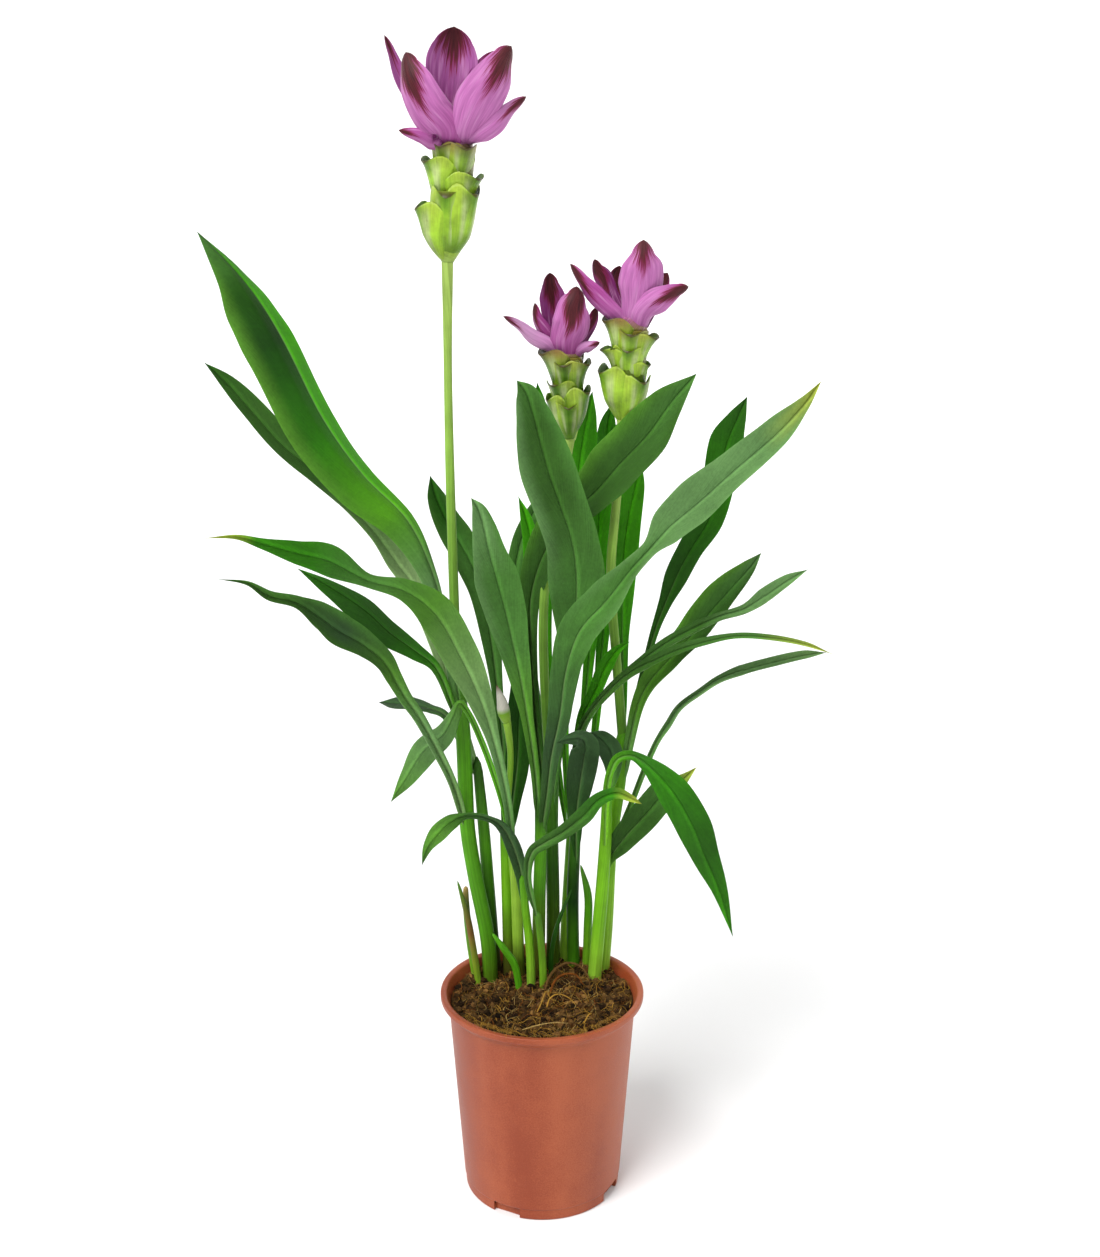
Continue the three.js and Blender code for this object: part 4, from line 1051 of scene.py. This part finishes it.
leaf(bm, "pale silver leek slate moss moss", [
    (-48, 29, 230, 3), (-56, 14, 270, 3), (-65, 4, 296, 3.5), (-75, -6, 321, 4), (-82, -13, 335, 4.5),
    (-88, -20, 350, 5.5), (-93, -26, 362, 7), (-104, -35, 375, 9), (-116, -43, 385, 11),
    (-126, -49, 395, 9.5), (-138, -55, 405, 4.5), (-152, -60, 410, 3.5), (-163, -66, 419, 1.5),
    (-178, -72, 423, 0),
], turn=(20, 35, 35), edge="moss leaf")
shoot("shoot_left", bm)

bm = new_mesh()
stem(bm, "umber shade stem moss", [4.2, 4.2, 4, 3.8, 3], [
    (-31, 41, 118), (-33, 40, 150), (-36, 40, 198), (-38, 38, 231), (-42, 37, 280),
])
# Painted light: the light tones lift this leaf where it lies in the shade of another leaf and faces down.
leaf(bm, "silver light light pale moss moss deep", [
    (-41, 37, 262, 3.5), (-49, 38, 292, 3.5), (-56, 39, 318, 4.5), (-67, 42, 356, 7), (-80, 48, 388, 8.5),
    (-92, 53, 404, 8.5), (-105, 57, 421, 6), (-119, 61, 436, 6), (-140, 66, 457, 10.5),
    (-162, 70, 474, 10.5), (-182, 74, 496, 9.5), (-198, 77, 514, 6), (-211, 79, 526, 0),
], turn=(20, 40, 40))
leaf(bm, "moss slate slate", [
    (-42, 37, 268, 3), (-62, 46, 304, 3.5), (-72, 54, 306, 4), (-83, 62, 306, 6.5), (-94, 69, 305, 7.5),
    (-108, 76, 304, 0),
], turn=(50, 60), fold=0.2)
shoot("shoot_left_back", bm)

bm = new_mesh()
stem(bm, "umber olive fresh fresh fresh young", [4, 3.8, 3.6, 3], [
    (-15, 34, 118), (-16, 32, 154), (-17, 28, 192), (-19, 22, 224),
])
leaf(bm, "leaf silver pale leek leaf grass grass yellow", [
    (-18, 23, 214, 2.5), (-22, 7, 263, 3), (-29, -3, 302, 4), (-37, -12, 334, 8), (-49, -22, 366, 11.5),
    (-62, -32, 393, 12), (-78, -40, 408, 7.5), (-98, -48, 416, 4.5), (-119, -58, 430, 10),
    (-135, -66, 436, 7.5), (-152, -74, 443, 3.5), (-165, -79, 448, 1.5), (-181, -86, 449, 0),
], turn=(10, 25, 25), fold=0.2)
leaf(bm, "spring spring leek silver leek", [
    (-18, 25, 204, 2), (-23, 14, 250, 2), (-32, 11, 284, 2), (-38, 9, 302, 2), (-45, 7, 319, 2),
    (-50, 8, 325, 2.5), (-54, 10, 317, 4), (-61, 14, 303, 7), (-74, 17, 291, 9), (-85, 19, 273, 6),
    (-96, 22, 255, 0),
], turn=(10, 20), fold=-0.2)
shoot("shoot_front_left", bm)

bm = new_mesh()
stem(bm, "fresh young stem", [2.9, 2.8, 2.6, 2], [
    (-7, 20, 118), (-8, 17, 154), (-11, 15, 187), (-13, 14, 208),
])
leaf(bm, "leaf slate slate moss leek moss", [
    (-10, 16, 178, 2.5), (-13, 15, 206, 4), (-18, 9, 229, 5), (-25, 2, 246, 3.5), (-33, -4, 254, 2),
    (-46, -12, 259, 2), (-55, -17, 257, 5), (-62, -21, 252, 6), (-69, -25, 244, 3.5), (-73, -27, 233, 0),
], turn=(10, 30), fold=0.2)
shoot("shoot_front_centre", bm)

bm = new_mesh()
stem(bm, "umber olive young young stem", [4, 3.8, 3.8], [(-22, 37, 118), (-23, 38, 180), (-24, 41, 232)])
leaf(bm, "leek leaf leaf leaf deep deep", [
    (-24, 41, 212, 2.5), (-25, 46, 254, 2.5), (-26, 51, 287, 3), (-29, 55, 319, 4), (-33, 61, 351, 6.5),
    (-39, 68, 381, 8.5), (-46, 73, 399, 10.5), (-54, 77, 413, 10.5), (-62, 81, 426, 9),
    (-68, 84, 439, 6.5), (-72, 88, 453, 0),
], turn=(5, 15), edge="moss moss")
leaf(bm, "deep deep night deep", [
    (-23, 40, 214, 2), (-19, 43, 248, 5.5), (-16, 44, 274, 8), (-15, 45, 300, 8), (-14, 46, 326, 6),
    (-13, 47, 351, 4), (-12, 48, 374, 0),
], fold=0.2)
shoot("shoot_back_left", bm)

bm = new_mesh()
stem(bm, "umber olive stem stem shade leaf", [4.4, 4.2, 3.8, 2.8], [
    (-3, 33, 118), (-2, 30, 184), (-1, 26, 234), (-2, 22, 263),
])
leaf(bm, "moss leek leaf leaf silver silver", [
    (-2, 24, 235, 2.5), (-4, 19, 274, 3), (-9, 13, 314, 4), (-13, 8, 341, 7), (-17, 5, 362, 9.5),
    (-22, 2, 386, 13), (-27, 0, 406, 14), (-31, -2, 422, 10.5), (-34, -4, 438, 7.5), (-37, -5, 449, 4.5),
    (-41, -6, 456, 0),
], turn=(0, 8), fold=0.25, edge="silver leaf")
leaf(bm, "moss slate leaf leaf silver silver yellow", [
    (-1, 26, 228, 3), (3, 18, 261, 4), (6, 13, 289, 5.5), (11, 8, 316, 7.5), (15, 2, 349, 9.5),
    (23, -4, 375, 13), (38, -9, 394, 12.5), (53, -14, 415, 7), (63, -17, 427, 5.5), (74, -20, 441, 12),
    (90, -24, 456, 15), (110, -29, 476, 12.5), (133, -34, 498, 10), (147, -38, 515, 4.5),
    (155, -41, 528, 0),
], turn=(0, -30, -30), edge="silver silver")
shoot("shoot_centre", bm)

bm = new_mesh()
stem(bm, "olive shade stem", [4.6, 4.4, 4.4, 4.8], [
    (7, 45, 118), (7, 44, 177), (6, 42, 228), (6, 41, 266),
])
leaf(bm, "leaf leaf leaf moss moss leaf", [
    (6, 40, 235, 2.5), (9, 35, 278, 3.5), (15, 29, 320, 5), (19, 24, 358, 9), (21, 20, 383, 15),
    (21, 16, 405, 18), (18, 12, 427, 16.5), (11, 8, 449, 16.5), (4, 4, 470, 17), (-1, 2, 489, 14.5),
    (-5, 0, 505, 10.5), (-9, -1, 517, 6.5), (-14, -2, 524, 0),
], fold=0.25, edge="silver leaf")
leaf(bm, "moss moss moss moss leaf", [
    (4, 43, 232, 3), (-1, 50, 274, 3), (-5, 55, 313, 3.5), (-7, 54, 353, 4.5), (-7, 50, 381, 7.5),
    (-1, 44, 406, 11.5), (13, 39, 433, 14), (33, 36, 452, 16), (46, 33, 468, 19), (64, 30, 488, 17.5),
    (77, 27, 507, 11.5), (92, 25, 525, 0),
], turn=(0, -25, -25), edge="leek moss")
leaf(bm, "grass grass bright bright", [
    (6, 43, 223, 2), (2, 54, 272, 2.5), (-5, 62, 324, 2.5), (-10, 66, 363, 2.5), (-10, 69, 389, 2.5),
    (-7, 71, 411, 5.5), (-10, 73, 427, 4), (-15, 75, 442, 0),
])
leaf(bm, "moss moss leaf leaf", [
    (7, 44, 226, 2), (1, 58, 271, 2.5), (-7, 68, 316, 2.5), (-14, 74, 355, 3.5), (-18, 78, 384, 5.5),
    (-14, 81, 410, 6), (-6, 83, 429, 5), (3, 85, 445, 0),
], fold=0.2)
shoot("shoot_centre_back", bm)

bm = new_mesh()
stem(bm, "stem night shade leek", [4.2, 4, 3.8, 3], [
    (21, 45, 118), (20, 43, 178), (21, 40, 214), (22, 38, 240),
])
leaf(bm, "leaf moss moss moss leaf yellow", [
    (22, 39, 215, 3), (20, 29, 264, 3), (23, 22, 298, 2.5), (29, 17, 314, 2.5), (40, 12, 330, 3),
    (53, 7, 344, 3.5), (67, 1, 354, 4), (80, -4, 362, 4), (96, -10, 369, 3.5), (115, -17, 375, 2.5),
    (134, -24, 376, 2.5), (154, -31, 374, 2), (169, -37, 370, 0),
], turn=(0, -45, -45), fold=0.25)
leaf(bm, "leaf leaf leaf moss silver silver", [
    (22, 40, 221, 2.5), (20, 34, 262, 2.5), (25, 28, 299, 2.5), (31, 24, 314, 2.5), (44, 19, 333, 2.5),
    (60, 14, 349, 3), (77, 8, 364, 4), (93, 2, 375, 4), (107, -3, 383, 3), (121, -8, 389, 3.5),
    (133, -13, 399, 5.5), (143, -18, 408, 4.5), (155, -23, 417, 0),
], turn=(0, -40, -40), fold=0.25)
leaf(bm, "leek bright bright", [
    (22, 42, 220, 2), (21, 42, 255, 2.5), (22, 41, 283, 2.5), (26, 39, 307, 3.5), (34, 37, 325, 4.5),
    (40, 35, 341, 5), (47, 33, 352, 3), (55, 32, 358, 0),
], turn=(0, -10), fold=0.2)
leaf(bm, "deep slate slate slate", [
    (22, 38, 205, 2.5), (22, 31, 243, 5), (24, 24, 266, 8.5), (26, 17, 284, 9.5), (27, 8, 298, 8.5),
    (23, -2, 306, 5.5), (16, -7, 307, 3), (9, -11, 306, 0),
], fold=0.1)
shoot("shoot_right", bm)

bm = new_mesh()
stem(bm, "fresh young young stem", [4.4, 4.4, 4.2, 3.6, 3], [
    (33, 22, 118), (36, 22, 159), (39, 22, 201), (41, 24, 242), (41, 25, 256),
])
leaf(bm, "young stem grass grass deep grass", [
    (40, 21, 221, 2.5), (40, 12, 254, 2.5), (42, 4, 280, 2.5), (47, -2, 293, 3), (55, -8, 297, 3),
    (63, -13, 294, 4.5), (71, -18, 288, 7.5), (81, -23, 277, 10.5), (91, -30, 261, 11),
    (99, -36, 242, 8.5), (107, -42, 224, 5), (115, -50, 197, 0),
], turn=(0, 10), fold=-0.15)
leaf(bm, "young moss moss leaf yellow", [
    (39, 23, 193, 2), (42, 28, 211, 3.5), (51, 27, 226, 8), (66, 23, 246, 10), (78, 20, 262, 10),
    (89, 17, 272, 4), (97, 15, 281, 0),
], turn=(0, -20))
leaf(bm, "stem slate slate", [
    (41, 25, 234, 2), (43, 24, 260, 2), (45, 24, 276, 5), (43, 24, 289, 7.5), (37, 23, 297, 6),
    (30, 21, 302, 0),
], fold=0.1)
shoot("shoot_right_front", bm)

bm = new_mesh()
stem(bm, "fresh young stem", [4.2, 4.2, 4, 4, 4.6], [
    (39, 33, 118), (42, 35, 160), (45, 37, 223), (50, 38, 264), (52, 39, 298),
])
leaf(bm, "leek leaf silver silver silver pale", [
    (46, 38, 217, 2.5), (58, 39, 248, 2), (66, 40, 270, 2), (74, 41, 289, 2), (81, 42, 300, 2.5),
    (88, 43, 311, 2.5), (101, 44, 321, 2.5), (113, 45, 329, 3), (129, 46, 335, 4.5), (148, 47, 340, 4.5),
    (166, 48, 344, 4), (181, 49, 346, 0),
], turn=(0, -45, -45))
leaf(bm, "silver leek leek moss leaf silver", [
    (49, 38, 250, 3), (56, 35, 292, 3.5), (61, 33, 317, 4.5), (67, 31, 331, 6), (79, 28, 347, 9.5),
    (91, 25, 362, 11), (104, 22, 380, 12), (115, 20, 394, 11), (127, 18, 409, 5.5), (133, 17, 418, 0),
], turn=(0, -40, -40), edge="leek moss")
leaf(bm, "moss deep deep grass deep", [
    (48, 39, 240, 2.5), (58, 54, 296, 2.5), (68, 62, 339, 2.5), (73, 65, 357, 3), (79, 68, 373, 4.5),
    (87, 71, 392, 8), (95, 74, 407, 8.5), (107, 79, 426, 10.5), (113, 83, 447, 11), (118, 88, 473, 11.5),
    (125, 91, 490, 6.5), (131, 94, 503, 0),
], turn=(0, -20))
leaf(bm, "grass bright bright", [
    (47, 38, 240, 2), (52, 48, 309, 2.5), (51, 54, 353, 4.5), (51, 58, 385, 8), (52, 61, 411, 9.5),
    (55, 64, 433, 8.5), (59, 66, 451, 6), (62, 68, 468, 0),
], turn=(0, -5), fold=0.2)
shoot("shoot_right_back", bm)

bm = new_mesh()
stem(bm, "fresh young stem", [3.4, 4, 4], [(14, 50, 118), (17, 54, 172), (20, 58, 221)])
leaf(bm, "spring bright bright bright", [
    (19, 58, 207, 2), (15, 63, 283, 2.5), (16, 69, 349, 4), (19, 74, 401, 6.5), (22, 79, 439, 9),
    (25, 83, 470, 10), (29, 86, 492, 6), (32, 88, 507, 0),
], fold=0.25)
leaf(bm, "spring bright bright grass", [
    (21, 58, 207, 2), (26, 66, 281, 2.5), (31, 74, 341, 4), (35, 82, 393, 7.5), (37, 88, 431, 8.5),
    (40, 92, 463, 8), (42, 95, 485, 5.5), (45, 97, 499, 0),
], turn=(0, 8), fold=0.25)
leaf(bm, "spring bright bright bright", [
    (22, 58, 207, 2), (34, 68, 281, 2.5), (39, 78, 339, 4), (43, 88, 391, 6), (46, 94, 430, 7.5),
    (48, 98, 459, 7.5), (50, 100, 478, 6), (52, 102, 488, 0),
], turn=(0, -8), fold=0.25)
leaf(bm, "spring bright bright grass", [
    (18, 58, 207, 2), (8, 67, 281, 2.5), (3, 76, 340, 3.5), (2, 86, 398, 5.5), (1, 93, 443, 7.5),
    (-1, 97, 481, 6.5), (-2, 99, 500, 4), (-3, 101, 511, 0),
], fold=0.25)
shoot("shoot_back", bm)

bm = new_mesh()
stem(bm, "lime leek", [2.6, 2.4, 2.1], [(1, 18, 118), (0, 16, 150), (-3, 12, 184)])
leaf(bm, "leaf moss moss grass yellow", [
    (-3, 12, 178, 2), (-9, 6, 211, 2.5), (-6, 3, 229, 3.5), (2, 1, 236, 4), (12, -1, 243, 4.5),
    (26, -4, 256, 5.5), (35, -8, 268, 4.5), (46, -12, 274, 3.5), (54, -15, 272, 2.5), (61, -17, 269, 0),
], turn=(0, -20), fold=0.2)
shoot("leaf_low_centre", bm)

bm = new_mesh()
stem(bm, "lime spring leek", [2.8, 2.8, 2.6, 0.8], [
    (29, 42, 118), (30, 41, 157), (30, 38, 183), (25, 33, 207),
])
shoot("sprout_right", bm, "shoot")

bm = new_mesh()
stem(bm, "lime brown leek", [2.4, 2.2, 2, 0.7], [
    (-41, 25, 118), (-45, 27, 149), (-49, 29, 173), (-55, 30, 197),
])
shoot("sprout_left", bm, "shoot")

bm = new_mesh()
stem(bm, "lime leek straw", [2.4, 2.4, 2.2, 1.6], [
    (-43, 32, 118), (-48, 34, 154), (-50, 35, 179), (-50, 35, 191),
])
shoot("stub_left", bm, "shoot")

bm = new_mesh()
stem(bm, "spring spring", [2.4, 2.4, 2.2, 0.8], [
    (-14, 18, 118), (-18, 18, 143), (-25, 16, 156), (-32, 15, 167),
])
shoot("sprout_front_left", bm, "shoot")

bm = new_mesh()
stem(bm, "deep deep", [1.8, 1.6, 1.4, 0.6], [(6, 27, 118), (6, 27, 147), (10, 28, 167), (19, 30, 191)])
shoot("thread_leaf_centre", bm, "shoot")

# Blooms. The painted shade given for each head is how far its cups are darkened to the deep
# green of shade. Cups: azimuth, lip height, reach and depth. Bracts: the share of the length at
# which the brown tip starts, the pinks from foot to tip, and stations as for a leaf.
# Violet and rose at the feet of the pink bracts and on the back bracts are partly painted shade between
# them, over a deeper pink of their own.
bloom(
    "left",
    stalk=[(-53, 28.2, 324), (-54, 26, 386), (-55, 22, 462), (-55, 18, 528), (-54, 14, 594)],
    radii=[3, 3, 2.8, 2.5, 3.5],
    head=(-54, 14, 590),
    axis=(5, 0, 64),
    length=62,
    column=(3.5, 7.5, 11, 11.5),
    painted_shade=0,
    cups=[
        (195, 28, 20.5, 27), (322, 38, 18.5, 33), (262, 36, 16, 31), (80, 33, 18, 28), (212, 54, 19.5, 20),
        (325, 47, 20, 19), (85, 57, 17.5, 22), (300, 60, 16, 16), (240, 60, 15.5, 15),
    ],
    bracts=[
        (0.8, "violet violet pink pink", (-50, 20, 655, 7), (-52, 22, 669, 8), (-52, 27, 683, 13.5),
         (-51, 30, 698, 15), (-50, 31, 709, 12), (-49, 30, 719, 0)),
        (0.6, "rose pink pink", (-54, 9, 655, 7.5), (-54, 0, 662, 11), (-62, -5, 672, 12),
         (-69, -6, 685, 11), (-73, -3, 696, 6.5), (-74, 0, 703, 0)),
        (0.7, "pink pink pink", (-44, 9, 655, 7), (-41, -1, 663, 9), (-34, -6, 676, 13),
         (-25, -7, 689, 11.5), (-20, -4, 699, 7), (-16, -1, 706, 0)),
        (0.78, "pink pink blush", (-42, 12, 655, 5), (-34, 1, 659, 5.5), (-25, 0, 665, 6),
         (-17, 2, 673, 4), (-8, 4, 680, 0)),
        (0.88, "rose pink", (-56, 17, 655, 5), (-69, 23, 674, 5.5), (-79, 26, 690, 5), (-84, 27, 703, 3),
         (-88, 25, 714, 0)),
        (0.8, "pink rose", (-57, 11, 658, 3.5), (-61, 4, 656, 4.5), (-67, 1, 659, 4), (-79, 0, 662, 0)),
        (0.84, "violet violet rose", (-44, 19, 655, 6), (-39, 26, 674, 8), (-34, 29, 690, 8),
         (-27, 30, 706, 0)),
    ],
)
bloom(
    "centre",
    stalk=[(6, 41.2, 254), (2, 42, 317), (1, 44, 375), (5, 46, 420), (13, 47, 457), (17, 48, 486)],
    radii=[3, 3, 2.8, 2.6, 3.8],
    head=(17, 48, 482),
    axis=(-2, 0, 50),
    length=50,
    column=(3.8, 6, 8.5, 9.5),
    painted_shade=0.85,
    cups=[
        (200, 25, 14, 22), (325, 29, 15.5, 24), (270, 21, 13.5, 20), (90, 29, 15, 24), (235, 35, 16, 15),
        (207, 50, 18.5, 17), (322, 45, 17, 17), (80, 48, 16, 19), (262, 45, 14.5, 17),
    ],
    bracts=[
        (0.66, "violet rose pink", (12, 52, 534, 6.5), (8, 55, 551, 8.5), (6, 58, 566, 8.5),
         (5, 58, 575, 5.5), (5, 58, 582, 0)),
        (0.5, "rose pink pink", (15, 42.5, 534, 7), (15, 38, 543, 10), (18, 34, 553, 11.5),
         (19, 34, 563, 9.5), (21, 36, 570, 6), (21, 39, 575, 0)),
        (0.84, "pink blush blush", (9, 45, 534, 4.5), (3, 42, 540, 5), (-6, 43, 545, 5),
         (-13, 44, 551, 3.5), (-23, 46, 557, 0)),
        (0.72, "violet rose", (9, 47, 535, 5), (3, 44, 546, 5.5), (-3, 44, 556, 4), (-4, 44, 565, 0)),
        (0.62, "violet rose", (21, 49, 535, 5), (27, 50, 547, 5.5), (32, 50, 556, 4), (33, 50, 562, 0)),
        (0.8, "pink blush", (20.5, 44.5, 534, 4), (25, 41, 538, 4), (30, 40, 540, 3), (35, 40, 542, 0)),
        (0.6, "violet rose", (16, 54, 535, 6), (17, 59, 551, 7.5), (20, 61, 563, 6.5), (21, 60, 570, 0)),
    ],
)
bloom(
    "right",
    stalk=[(52, 38.8, 286), (47, 41, 344), (43, 43, 398), (46, 44, 444), (50, 45, 496)],
    radii=[3.2, 3, 3, 2.8, 4],
    head=(50, 45, 492),
    axis=(4, 0, 59),
    length=57,
    column=(4, 6, 9.5, 10.5),
    painted_shade=0.06,
    cups=[
        (203, 31, 19, 28), (305, 27, 17, 26), (70, 33, 16, 26), (190, 44, 18, 13), (340, 37, 13.5, 12),
        (262, 45, 14, 18), (200, 58, 19, 17), (332, 52, 18, 15), (85, 52, 16, 18), (268, 53, 15.5, 17),
    ],
    bracts=[
        (0.8, "pink pink pink", (54.5, 39.5, 551, 7), (57, 36, 565, 9.5), (59, 33, 576, 13.5),
         (60, 31, 586, 12.5), (60, 31, 594, 7.5), (60, 34, 602, 0)),
        (0.62, "pink pink rose", (58, 40, 551, 6.5), (61, 35, 560, 8), (68, 31, 566, 8.5),
         (75, 31, 570, 6.5), (81, 32, 573, 4), (87, 34, 575, 0)),
        (0.68, "pink rose rose", (48.5, 41.5, 552.5, 5.5), (41, 39, 560, 6), (32, 38, 569, 6.5),
         (25, 38, 577, 4.5), (17, 40, 588, 0)),
        (0.62, "violet violet", (49, 48.5, 551, 5.5), (41, 52, 567, 6), (37, 54, 578, 6.5),
         (33, 55, 585, 4), (32, 56, 590, 0)),
        (0.66, "violet violet", (52, 51, 551, 6.5), (48, 57, 569, 7.5), (46, 60, 579, 6.5),
         (47, 60, 586, 0)),
        (0.62, "violet rose", (59.5, 48.5, 551, 6), (68, 55, 566, 6.5), (73, 58, 575, 5.5),
         (76, 58, 582, 0)),
    ],
)

# Young white bud and its stalk
bm = new_mesh()
stem(bm, "leek lime lime fresh", [2, 1.9, 1.9, 2, 2.6], [
    (-24, 41, 222), (-23, 36, 242), (-21, 31, 262), (-20, 27, 286), (-22, 24, 308),
], False, 8, 0)
stem(bm, "fresh fresh lime white white white coir", [2.6, 4, 3.2, 0.4], [
    (-22, 24, 308), (-24, 22.6, 315), (-25, 21.6, 322), (-28, 20, 333),
], False, 4, 0)
finished("white_bud_on_its_stalk", bm, [BUD_SKIN], "bud")

studio()
camera()
